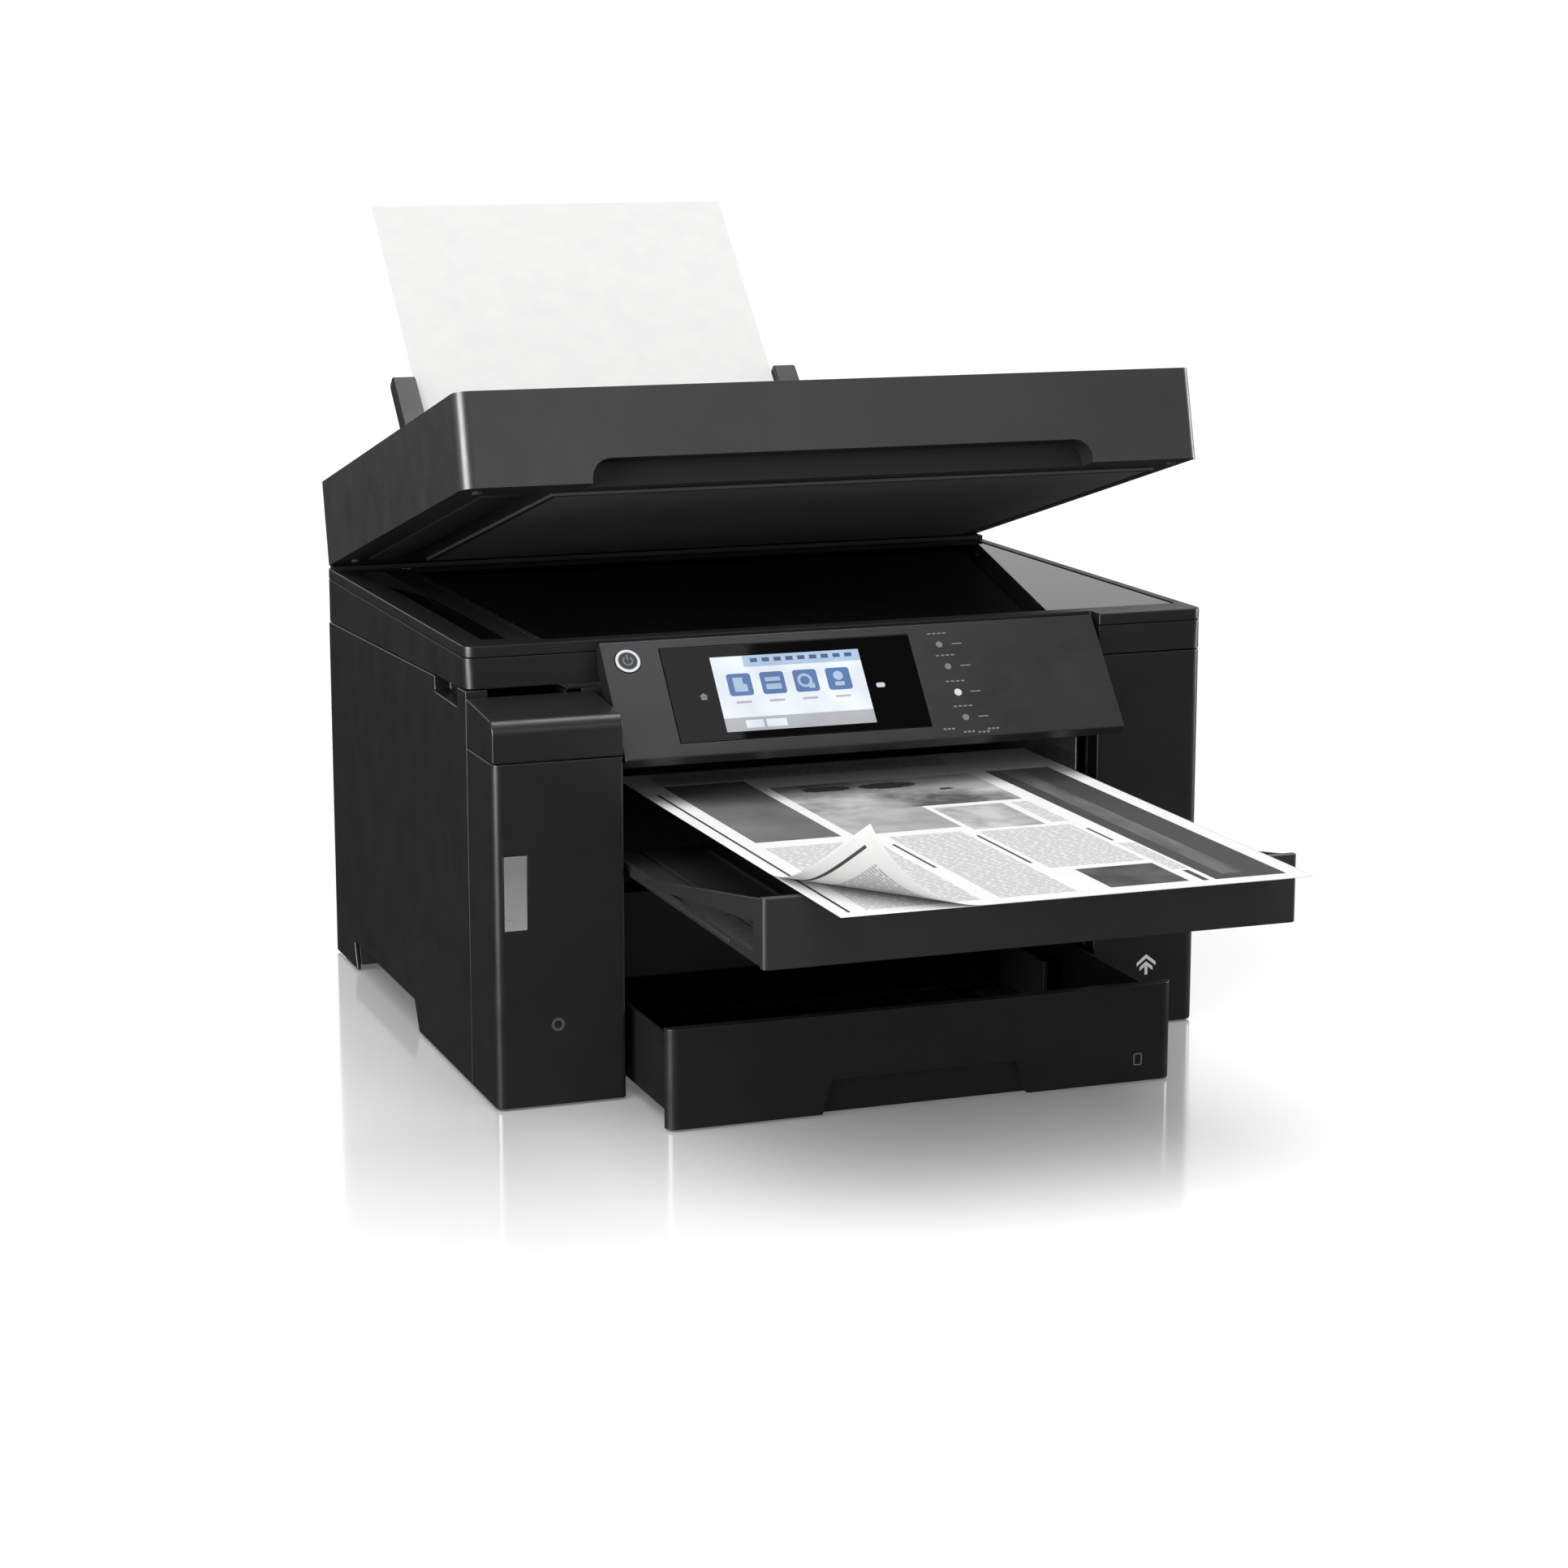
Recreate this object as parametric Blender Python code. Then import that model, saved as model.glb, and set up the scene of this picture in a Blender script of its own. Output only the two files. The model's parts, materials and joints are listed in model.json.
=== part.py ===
"""A3 ink-tank multifunction printer, as an assembly of separate sub-parts.

Every size and place below is in millimetres and MM turns it into metres. The design frame has x to the
right, y towards the back with y = 0 at the front of the ink-tank tower, and z up from the floor. The
"origin" empty shifts it so that the whole machine's box is centred on the world's origin.
"""

import math

import bmesh
import bpy
from mathutils import Matrix

MM = 0.001

# ---------------------------------------------------------------- driving sizes
BODY_WIDTH = 515.0
BODY_DEPTH = 445.0  # front of the ink-tank tower to the back of the side covers
BODY_HEIGHT = 290.0  # floor to the top of the scanner bed
TOWER_WIDTH = 86.0  # ink-tank tower, at the left
TOWER_HEIGHT = 225.0  # floor to the tower's lid
COLUMN_WIDTH = 77.5  # closed column, at the right
COLUMN_SETBACK = 47.0  # the column stands this far behind the tower's front
FACE_SETBACK = 62.0  # the body's inner face stands this far behind the tower's front
SCANNER_HEIGHT = 28.0  # scanner unit, at its front edge
SEAM_DROP = 11.5  # the seam below the scanner falls this much towards the back
LID_THICKNESS = 62.0
LID_REST = 14.6  # degrees that the document cover stands open
WALL = 3.0
GAP = 0.3  # between pieces that touch
SEAM_GAP = 0.5  # between covers
CORNER = 8.0  # rounding of the body's upright corners
SIDES = 20  # facets of a round piece

# ---------------------------------------------------------------- paper (A3)
SHEET_WIDTH = 297.0
SHEET_LENGTH = 420.0
STACK = 1.0  # thickness of a few sheets

# ---------------------------------------------------------------- cassettes and output tray
CASSETTE_HEIGHT = 65.0  # front plate of the lower cassette
UPPER_CASSETTE_HEIGHT = 57.0
CASSETTE_FLOOR = 8.5
CASSETTE_WALL = 2.5
CASSETTE_LENGTH = 428.0
CASSETTE_CLEARANCE = 1.4  # at each side of the bay
CASSETTE_FACE = 38.0  # y of a closed cassette's front plate
PULLED_OUT = 118.0  # the lower cassette stands this far out
FRONT_PLATE = 8.0
TRAY_HEIGHT = 43.0
TRAY_BOTTOM = 145.0
TRAY_CLEARANCE = 4.0
TRAY_REACH = 248.0  # how far the tray's front wall stands ahead of the tower
TRAY_LENGTH = 310.0
TRAY_WALL = 3.0
SHEET_OVERHANG = 62.0  # printed sheets reach this far past the tray's front wall

# ---------------------------------------------------------------- panel
PANEL_TILT = 39.5  # degrees from upright
PANEL_TOP = 5.3  # above the hinge axis, along the slope
PANEL_LENGTH = 87.7
PANEL_FACE = 7.0  # ahead of the hinge axis
PANEL_DEPTH = 15.0
SCREEN_WIDTH = 173.0
SCREEN_HEIGHT = 70.0
SCREEN_LEFT = 39.0  # from the panel's left end
SCREEN_DROP = 7.8  # from the panel's top edge
BUTTON_RADIUS = 8.5
ARM_HALF = 4.0  # half the thickness of an arm that holds the panel
ARM_SPREAD = 100.0

# ---------------------------------------------------------------- hand holds, feet and rear cover
HOLD_LENGTH = 186.0
HOLD_SETBACK = 60.0  # behind end of the hand holds to the back of the side covers
HOLD_RISE = 20.5
HOLD_DEPTH = 28.0
FOOT_RADIUS = 9.0
FOOT_INSET = 20.0
MAINTENANCE_WIDTH = 48.0
MAINTENANCE_HEIGHT = 48.0
MAINTENANCE_DEPTH = 70.0
INLET_INSET = 35.0  # from the right side to the middle of the power inlet
INLET_Z = 52.0
NOTCH_FRONT = 83.0  # finger notch below the scanner unit, on the left
NOTCH_BACK = 140.0

# ---------------------------------------------------------------- ink-tank tower
WINDOW_LEFT = 6.0  # from the tower's left side
WINDOW_WIDTH = 15.6
WINDOW_LOW = 117.0
WINDOW_HIGH = 166.0
TANK_NAMES = ("black", "cyan", "magenta", "yellow")
TANK_PITCH = 16.0
TANK_BOTTOM = 30.0
TANK_TOP = 200.0
TANK_FRONT = 8.0
TANK_BACK = 160.0
PORT_Y = 30.0
PORT_RADIUS = 4.0

# ---------------------------------------------------------------- scanner glass, lid pocket and lid slot
GLASS_LEFT = 57.0  # rim widths around the glass
GLASS_RIGHT = 8.0
GLASS_FRONT = 14.0
GLASS_BACK = 26.0
GLASS_THICK = 3.0
POCKET_FRONT = 55.0  # front band of the lid's top
POCKET_BACK = -60.0
POCKET_SIDE = 10.5
ADF_SPLIT = 197.5  # from the lid's left side to the split between feeder cover and tray
SLOT_LEFT = 86.0
SLOT_RIGHT = 78.0
SLOT_HEIGHT = 16.0
SLOT_DEPTH = 18.0

# ---------------------------------------------------------------- rear feed
REAR_DEPTH = 60.0
REAR_BOTTOM = 3.0
HOUSE_HOLLOW = 215.0  # top of the space that takes the cassettes' far ends
FEED_LEAN = 44.3  # degrees from upright
REAR_SHEET_LOW = -59.0  # the loaded sheet's lower edge, along the slope
GUIDE_THICK = 18.0
GUIDE_TOP = 179.0

# ---------------------------------------------------------------- print engine
ROLLER_RADIUS = 7.0
SHAFT_RADIUS = 3.5
FEED_Y = 262.0
GEAR_MODULE = 2.0
SMALL_TEETH = 24
IDLER_TEETH = 37
GEAR_WIDTH = 5.0
PULLEY_RADIUS = 9.0
BELT_THICK = 1.2
CARRIAGE_WIDTH = 70.0

# ---------------------------------------------------------------- places worked out from the sizes
LEFT = -BODY_WIDTH / 2
RIGHT = BODY_WIDTH / 2
BACK = BODY_DEPTH
BAY_LEFT = LEFT + TOWER_WIDTH
BAY_RIGHT = RIGHT - COLUMN_WIDTH
BAY_CENTRE = (BAY_LEFT + BAY_RIGHT) / 2
FACE = FACE_SETBACK
SEAM = BODY_HEIGHT - SCANNER_HEIGHT
BASE_BOTTOM = 4.0
BASE_TOP = BASE_BOTTOM + WALL
SHELF = 129.5  # roof of the cassette bay
ROLLER_Z = SHELF + 79.5
EXIT_Y = FEED_Y - GEAR_MODULE * (SMALL_TEETH + IDLER_TEETH)
IDLER_Y = (FEED_Y + EXIT_Y) / 2
RAIL_Y = IDLER_Y + 45.0
CARRIAGE_Z = ROLLER_Z + 8.0
CARRIAGE_HIGH = 35.0
CASSETTE_END = CASSETTE_FACE + FRONT_PLATE + CASSETTE_LENGTH
REAR_FACE = max(BACK + REAR_DEPTH, CASSETTE_END + WALL + 4.0)
FEED_Y0 = REAR_FACE - 8.0  # where the loaded sheet passes the rear housing's lip
FEED_Z0 = BODY_HEIGHT - 10.0
LID_HINGE_Y = BACK - 8.0
LID_HINGE_Z = BODY_HEIGHT + 3.0
LID_FRONT = COLUMN_SETBACK - LID_HINGE_Y
LID_BACK = 7.0
SCANNER_HINGE_Y = BACK - 1.0
SCANNER_HINGE_Z = SEAM - SEAM_DROP + 1.5
PANEL_HINGE_Y = FACE - 5.0
PANEL_HINGE_Z = BODY_HEIGHT - 9.0
CASSETTE_LEFT = BAY_LEFT + CASSETTE_CLEARANCE
CASSETTE_RIGHT = BAY_RIGHT - CASSETTE_CLEARANCE - 1.0
UPPER_CASSETTE_Z = CASSETTE_HEIGHT + 5.0
TRAY_LEFT = BAY_LEFT + TRAY_CLEARANCE
TRAY_RIGHT = BAY_RIGHT - TRAY_CLEARANCE - 1.0
TRAY_TOP = TRAY_BOTTOM + TRAY_HEIGHT
SHEET_LEFT = BAY_CENTRE - SHEET_WIDTH / 2
SHEET_FRONT = -TRAY_REACH - SHEET_OVERHANG
HOLD_BACK = BACK - HOLD_SETBACK
HOLD_FRONT = HOLD_BACK - HOLD_LENGTH
BOX_X0 = LEFT + 10.5
BOX_X1 = BOX_X0 + MAINTENANCE_WIDTH
BOX_Z0 = 60.0
BOX_Z1 = BOX_Z0 + MAINTENANCE_HEIGHT
INLET_X = RIGHT - INLET_INSET
ARM_X = (BAY_CENTRE - ARM_SPREAD, BAY_CENTRE + ARM_SPREAD)
FRAME_LEFT = BAY_LEFT - 12.5
ENGINE_BACK = FEED_Y + 38.0


def seam(y):
    """Height of the sloping seam between the body and the scanner unit."""
    return SEAM - SEAM_DROP * (y - FACE) / (BACK - FACE)


# ---------------------------------------------------------------- shapes
ACROSS = {"x": (1, 2, 0), "y": (0, 2, 1), "z": (0, 1, 2)}


def prism(outline, axis, low, high):
    """An outline in the plane across an axis, swept along that axis from low to high."""
    first, second, along = ACROSS[axis]
    mesh = bmesh.new()
    rings = []
    for level in (low, high):
        ring = []
        for point in outline:
            place = [0.0, 0.0, 0.0]
            place[first] = point[0] * MM
            place[second] = point[1] * MM
            place[along] = level * MM
            ring.append(mesh.verts.new(place))
        rings.append(ring)
        mesh.faces.new(ring)
    count = len(outline)
    for i in range(count):
        j = (i + 1) % count
        mesh.faces.new((rings[0][i], rings[0][j], rings[1][j], rings[1][i]))
    bmesh.ops.recalc_face_normals(mesh, faces=mesh.faces)
    return mesh


def box(x0, x1, y0, y1, z0, z1):
    """A block between the given planes."""
    return prism([(x0, y0), (x1, y0), (x1, y1), (x0, y1)], "z", z0, z1)


def disc(axis, centre, radius, low, high, sides=SIDES):
    """A round bar along an axis."""
    turn = 2 * math.pi / sides
    outline = [
        (centre[0] + radius * math.cos(i * turn), centre[1] + radius * math.sin(i * turn))
        for i in range(sides)
    ]
    return prism(outline, axis, low, high)


def rounded(points, steps=4):
    """An outline whose corners given as (u, v, radius) are rounded; (u, v) corners stay sharp."""
    outline = []
    count = len(points)
    for i, corner in enumerate(points):
        if len(corner) == 2:
            outline.append(corner)
            continue
        u, v, radius = corner
        before, after = points[i - 1], points[(i + 1) % count]
        into = (before[0] - u, before[1] - v)
        out = (after[0] - u, after[1] - v)
        length_in, length_out = math.hypot(*into), math.hypot(*out)
        into = (into[0] / length_in, into[1] / length_in)
        out = (out[0] / length_out, out[1] / length_out)
        half = math.acos(max(-1.0, min(1.0, into[0] * out[0] + into[1] * out[1]))) / 2
        reach = radius / math.tan(half)
        middle = (into[0] + out[0], into[1] + out[1])
        scale = radius / math.sin(half) / math.hypot(*middle)
        centre = (u + middle[0] * scale, v + middle[1] * scale)
        start = math.atan2(v + into[1] * reach - centre[1], u + into[0] * reach - centre[0])
        end = math.atan2(v + out[1] * reach - centre[1], u + out[0] * reach - centre[0])
        sweep = (end - start + math.pi) % (2 * math.pi) - math.pi
        for step in range(steps + 1):
            angle = start + sweep * step / steps
            outline.append((centre[0] + radius * math.cos(angle), centre[1] + radius * math.sin(angle)))
    return outline


# ---------------------------------------------------------------- scene helpers
def clear_scene():
    for obj in list(bpy.data.objects):
        bpy.data.objects.remove(obj, do_unlink=True)


def material(name, colour, roughness, metallic=0.0):
    made = bpy.data.materials.new(name)
    made.use_nodes = True
    shader = made.node_tree.nodes["Principled BSDF"]
    shader.inputs["Base Color"].default_value = (*colour, 1.0)
    shader.inputs["Roughness"].default_value = roughness
    shader.inputs["Metallic"].default_value = metallic
    made.diffuse_color = (*colour, 1.0)
    return made


def object_of(name, mesh, parent):
    data = bpy.data.meshes.new(name)
    mesh.to_mesh(data)
    mesh.free()
    obj = bpy.data.objects.new(name, data)
    bpy.context.scene.collection.objects.link(obj)
    obj.parent = parent
    obj.matrix_parent_inverse = Matrix(parent["frame"])
    return obj


def boolean(obj, shape, operation, count):
    helper = object_of(f"{obj.name}_{operation.lower()}_{count}", shape, obj.parent)
    helper.hide_render = True
    helper.display_type = "WIRE"
    modifier = obj.modifiers.new(helper.name, "BOOLEAN")
    modifier.operation = operation
    modifier.object = helper


def solid(name, look, parent, shape, join=(), cut=()):
    """One sub-part: a shape, with others joined to it and then others cut from it."""
    obj = object_of(name, shape, parent)
    obj.data.materials.append(look)
    for count, other in enumerate(join):
        boolean(obj, other, "UNION", count)
    for count, other in enumerate(cut):
        boolean(obj, other, "DIFFERENCE", count)
    obj.data.shade_smooth()
    obj.data.set_sharp_from_angle(angle=math.radians(30))
    return obj


def frame_empty(name, place, parent, turn=0.0, own_frame=False):
    """An empty on a joint's axis. Its pieces keep the design frame, or take its own turned one."""
    empty = bpy.data.objects.new(name, None)
    bpy.context.scene.collection.objects.link(empty)
    empty.parent = parent
    offset = parent["place"] if parent else (0.0, 0.0, 0.0)
    empty.location = [(a - b) * MM for a, b in zip(place, offset)]
    empty.rotation_euler = (math.radians(turn), 0.0, 0.0)
    inverse = Matrix.Identity(4) if own_frame else Matrix.Translation([-a * MM for a in place])
    empty["frame"] = [list(row) for row in inverse]
    empty["place"] = (0.0, 0.0, 0.0) if own_frame else tuple(place)
    return empty


# ---------------------------------------------------------------- shared outlines
def above_seam(gap):
    """Everything over the seam, less a gap: cut from the body's covers."""
    near, far = -50.0, REAR_FACE + 50.0
    high = BODY_HEIGHT + 100.0
    outline = [(near, seam(near) - gap), (far, seam(far) - gap), (far, high), (near, high)]
    return prism(outline, "x", LEFT - 20, RIGHT + 20)


def scanner_outline():
    front = FACE + GAP
    return rounded(
        [
            (LEFT, front, CORNER),
            (BAY_RIGHT, front),
            (BAY_RIGHT, COLUMN_SETBACK),
            (RIGHT, COLUMN_SETBACK, CORNER),
            (RIGHT, BACK, 4.0),
            (LEFT, BACK, 4.0),
        ]
    )


def hand_hold(x0, x1):
    """The trapezoid recess along the bottom of each side, where the machine is lifted."""
    outline = [
        (HOLD_FRONT, -1.0),
        (HOLD_FRONT + 13, HOLD_RISE),
        (HOLD_BACK + 4, HOLD_RISE),
        (HOLD_BACK - 5, -1.0),
    ]
    return prism(outline, "x", x0, x1)


# ---------------------------------------------------------------- casing
def make_base(root, looks):
    inset = WALL + SEAM_GAP
    outline = [
        (LEFT + inset, inset),
        (BAY_LEFT - inset, inset),
        (BAY_LEFT - inset, FACE + SEAM_GAP),
        (BAY_RIGHT + inset, FACE + SEAM_GAP),
        (BAY_RIGHT + inset, COLUMN_SETBACK + inset),
        (RIGHT - inset, COLUMN_SETBACK + inset),
        (RIGHT - inset, BACK - inset),
        (LEFT + inset, BACK - inset),
    ]
    roof = HOLD_RISE + WALL
    joins, cuts = [], []
    for x0, x1, side in (
        (LEFT + inset, LEFT + inset + HOLD_DEPTH, -1),
        (RIGHT - inset - HOLD_DEPTH, RIGHT - inset, 1),
    ):
        joins.append(box(x0, x1, HOLD_FRONT - WALL, HOLD_BACK + 4 + WALL, BASE_BOTTOM, roof))
        inner0 = x0 - 10 if side < 0 else x0 + WALL
        inner1 = x1 - WALL if side < 0 else x1 + 10
        cuts.append(hand_hold(inner0, inner1))
    solid("base_pan", looks["frame"], root, prism(outline, "z", BASE_BOTTOM, BASE_TOP), joins, cuts)
    places = {
        "foot_front_left": (LEFT + FOOT_INSET, FOOT_INSET + 2),
        "foot_front_right": (RIGHT - FOOT_INSET, COLUMN_SETBACK + FOOT_INSET + 3),
        "foot_rear_left": (LEFT + FOOT_INSET, BACK - FOOT_INSET),
        "foot_rear_right": (RIGHT - FOOT_INSET, BACK - FOOT_INSET),
    }
    for name, place in places.items():
        solid(name, looks["rubber"], root, disc("z", place, FOOT_RADIUS, 0.0, BASE_BOTTOM - GAP))


def make_side_covers(root, looks):
    start = FACE + GAP
    flange = 15.0
    under = seam(BACK) - 4.5
    profile = [
        (LEFT, 1.0),
        (LEFT + WALL, 1.0),
        (LEFT + WALL, under),
        (LEFT + flange, under),
        (LEFT + flange, SEAM),
        (LEFT, SEAM),
    ]
    notch = prism(
        rounded(
            [
                (NOTCH_FRONT, seam(NOTCH_FRONT) - 13.5, 3),
                (NOTCH_BACK, seam(NOTCH_BACK) - 11, 3),
                (NOTCH_BACK, SEAM + 5),
                (NOTCH_FRONT, SEAM + 5),
            ]
        ),
        "x",
        LEFT - 1,
        LEFT + 11,
    )
    corner = box(LEFT + WALL, LEFT + 20, BACK - WALL - GAP, BACK + 5, under - 5, SEAM + 5)
    cuts = [above_seam(SEAM_GAP), hand_hold(LEFT - 1, LEFT + 20), notch, corner]
    solid("left_cover", looks["shell"], root, prism(profile, "y", start, BACK), (), cuts)
    hook = rounded(
        [
            (BAY_RIGHT, COLUMN_SETBACK, 1.5),
            (RIGHT, COLUMN_SETBACK, CORNER),
            (RIGHT, BACK),
            (RIGHT - WALL, BACK),
            (RIGHT - WALL, COLUMN_SETBACK + WALL),
            (BAY_RIGHT + WALL, COLUMN_SETBACK + WALL),
            (BAY_RIGHT + WALL, FACE),
            (BAY_RIGHT, FACE),
        ]
    )
    cuts = [above_seam(SEAM_GAP), hand_hold(RIGHT - 20, RIGHT + 1)]
    solid("right_cover", looks["shell"], root, prism(hook, "z", 1.0, SEAM), (), cuts)


def make_rear(root, looks):
    """Rear cover, the rear feed housing on it, the maintenance box and the power inlet."""
    x0, x1 = LEFT + WALL + GAP, RIGHT - WALL - GAP
    house0, house1 = BAY_LEFT - 19.0, BAY_RIGHT + 16.0
    cover = box(x0, x1, BACK - WALL, BACK, BASE_TOP + 1, SEAM)
    cuts = [
        above_seam(1.6),
        box(house0 + WALL, house1 - WALL, BACK - 10, BACK + 10, 0.0, HOUSE_HOLLOW),
        box(BOX_X0 - 1, BOX_X1 + 1, BACK - 10, BACK + 10, BOX_Z0 - 1, BOX_Z1 + 1),
        box(INLET_X - 15, INLET_X + 15, BACK - 10, BACK + 10, INLET_Z - 13, INLET_Z + 13),
    ]
    solid("rear_cover", looks["shell"], root, cover, (), cuts)

    start = BACK + GAP
    top = seam(BACK) - 2.0
    lip = REAR_FACE - (FEED_Y0 - FEED_Z0)
    profile = [
        (start, REAR_BOTTOM),
        (REAR_FACE, REAR_BOTTOM, 5.0),
        (REAR_FACE, lip - 17.0, 2.0),
        (REAR_FACE - 44, lip - 62.0),
        (REAR_FACE - 56, lip - 50.0),
        (REAR_FACE - 45.5, top),
        (start, top),
    ]
    hollow = box(house0 + WALL, house1 - WALL, BACK - 5, REAR_FACE - WALL, REAR_BOTTOM + WALL, HOUSE_HOLLOW)
    blank = prism(rounded(profile), "x", house0, house1)
    solid("rear_feed_housing", looks["shell"], root, blank, (), [hollow])

    tank = box(BOX_X0, BOX_X1, BACK - MAINTENANCE_DEPTH, BACK, BOX_Z0, BOX_Z1)
    grip = box(BOX_X0 + 14, BOX_X1 - 14, BACK - 6, BACK + 1, BOX_Z0 + 18, BOX_Z1 - 14)
    box_frame = frame_empty("maintenance_slide", ((BOX_X0 + BOX_X1) / 2, BACK, BOX_Z0), root)
    solid("maintenance_box", looks["frame"], box_frame, tank, (), [grip])

    body = box(INLET_X - 14, INLET_X + 14, BACK - 26, BACK + 0.5, INLET_Z - 12, INLET_Z + 12)
    socket = prism(
        rounded(
            [
                (INLET_X - 11, INLET_Z - 8, 2),
                (INLET_X + 11, INLET_Z - 8, 2),
                (INLET_X + 11, INLET_Z + 8, 4),
                (INLET_X - 11, INLET_Z + 8, 4),
            ],
            2,
        ),
        "y",
        BACK - 16,
        BACK + 5,
    )
    solid("power_inlet", looks["dark"], root, body, (), [socket])


def make_front_frame(root, looks):
    """The frame behind the front face: cassette mouths, output mouth and the panel's hinge arms."""
    x0, x1 = BAY_LEFT - 8.0, BAY_RIGHT + 4.0
    y0, y1 = FACE + GAP, FACE + 4.0
    mouth0, mouth1 = BAY_LEFT + 0.2, BAY_RIGHT - 0.5
    plate = box(x0, x1, y0, y1, BASE_TOP + 1, seam(y1) - 3.0)
    cuts = [
        box(mouth0, mouth1, y0 - 9, y1 + 9, -1.0, CASSETTE_HEIGHT + 1.8),
        box(mouth0, mouth1, y0 - 9, y1 + 9, UPPER_CASSETTE_Z - 0.7, SHELF - 1.3),
        box(mouth0, mouth1, y0 - 9, y1 + 9, SHELF + 2.5, SHELF + 88.0),
    ]
    arm = [
        (PANEL_HINGE_Y - 2.0, PANEL_HINGE_Z - 25.0),
        (y0 + 0.5, seam(y1) - 16.0),
        (y0 + 0.5, seam(y1) - 4.0),
        (PANEL_HINGE_Y + 3.6, SEAM - 1.5),
        (PANEL_HINGE_Y + 3.6, PANEL_HINGE_Z + 2.0),
        (PANEL_HINGE_Y - 2.0, PANEL_HINGE_Z + 2.0),
    ]
    arms = [prism(arm, "x", x - ARM_HALF, x + ARM_HALF) for x in ARM_X]
    solid("front_frame", looks["frame"], root, plate, arms, cuts)


# ---------------------------------------------------------------- ink-tank tower
def make_tower(root, looks):
    top = TOWER_HEIGHT - SEAM_GAP / 2
    outline = rounded(
        [
            (LEFT, 0.0, 6.0),
            (BAY_LEFT, 0.0, 3.0),
            (BAY_LEFT, FACE - 0.2),
            (BAY_LEFT - WALL, FACE - 0.2),
            (BAY_LEFT - WALL, WALL),
            (LEFT + WALL, WALL),
            (LEFT + WALL, FACE - 0.2),
            (LEFT, FACE - 0.2),
        ]
    )
    x0 = LEFT + WINDOW_LEFT
    x1 = x0 + WINDOW_WIDTH
    hole = box(x0, x1, -5.0, WALL + 2, WINDOW_LOW, WINDOW_HIGH)
    solid("tank_housing", looks["shell"], root, prism(outline, "z", 1.0, top), (), [hole])
    pane = box(x0 + GAP, x1 - GAP, 0.2, WALL + 1, WINDOW_LOW + GAP, WINDOW_HIGH - GAP)
    solid("tank_window", looks["window"], root, pane)

    hinge = (0.0, FACE - 1.5, SEAM - 5.5)
    lid_frame = frame_empty("tank_lid_hinge", hinge, root)
    back = FACE - 0.4
    profile = rounded(
        [
            (0.0, TOWER_HEIGHT + SEAM_GAP / 2),
            (back, TOWER_HEIGHT + SEAM_GAP / 2),
            (back, SEAM - 5.0),
            (0.0, SEAM - 10.5, 9.0),
        ],
        5,
    )
    inner = [
        (WALL, TOWER_HEIGHT - 5),
        (back - WALL, TOWER_HEIGHT - 5),
        (back - WALL, SEAM - 9.0),
        (WALL + 6, SEAM - 14.0),
        (WALL, SEAM - 20.0),
    ]
    hollow = prism(inner, "x", LEFT + WALL, BAY_LEFT - WALL)
    blank = prism(profile, "x", LEFT, BAY_LEFT - GAP)
    solid("tank_lid", looks["shell"], lid_frame, blank, (), [hollow])

    for i, ink in enumerate(TANK_NAMES):
        x0 = LEFT + 6.5 + i * TANK_PITCH
        x1 = x0 + TANK_PITCH - 1.0
        middle = (x0 + x1) / 2
        port = (middle, PORT_Y)
        tank = box(x0, x1, TANK_FRONT, TANK_BACK, TANK_BOTTOM, TANK_TOP)
        neck = disc("z", port, PORT_RADIUS + 2.0, TANK_TOP - 1, TANK_TOP + 5.0, 12)
        bore = disc("z", port, PORT_RADIUS, TANK_TOP - 60, TANK_TOP + 6.0, 12)
        solid(f"ink_tank_{ink}", looks["tank"], root, tank, [neck], [bore])
        pivot = (middle, port[1] + 14.0, TANK_TOP + 8.5)
        cap_frame = frame_empty(f"ink_cap_{ink}_hinge", pivot, root)
        cap = box(x0 + 0.7, x1 - 0.7, port[1] - 11, port[1] + 15, TANK_TOP + 5.3, TANK_TOP + 12.0)
        plug = disc("z", port, PORT_RADIUS - 1.2, TANK_TOP + 1.0, TANK_TOP + 6.0, 12)
        solid(f"ink_cap_{ink}", looks[ink], cap_frame, cap, [plug])


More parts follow.
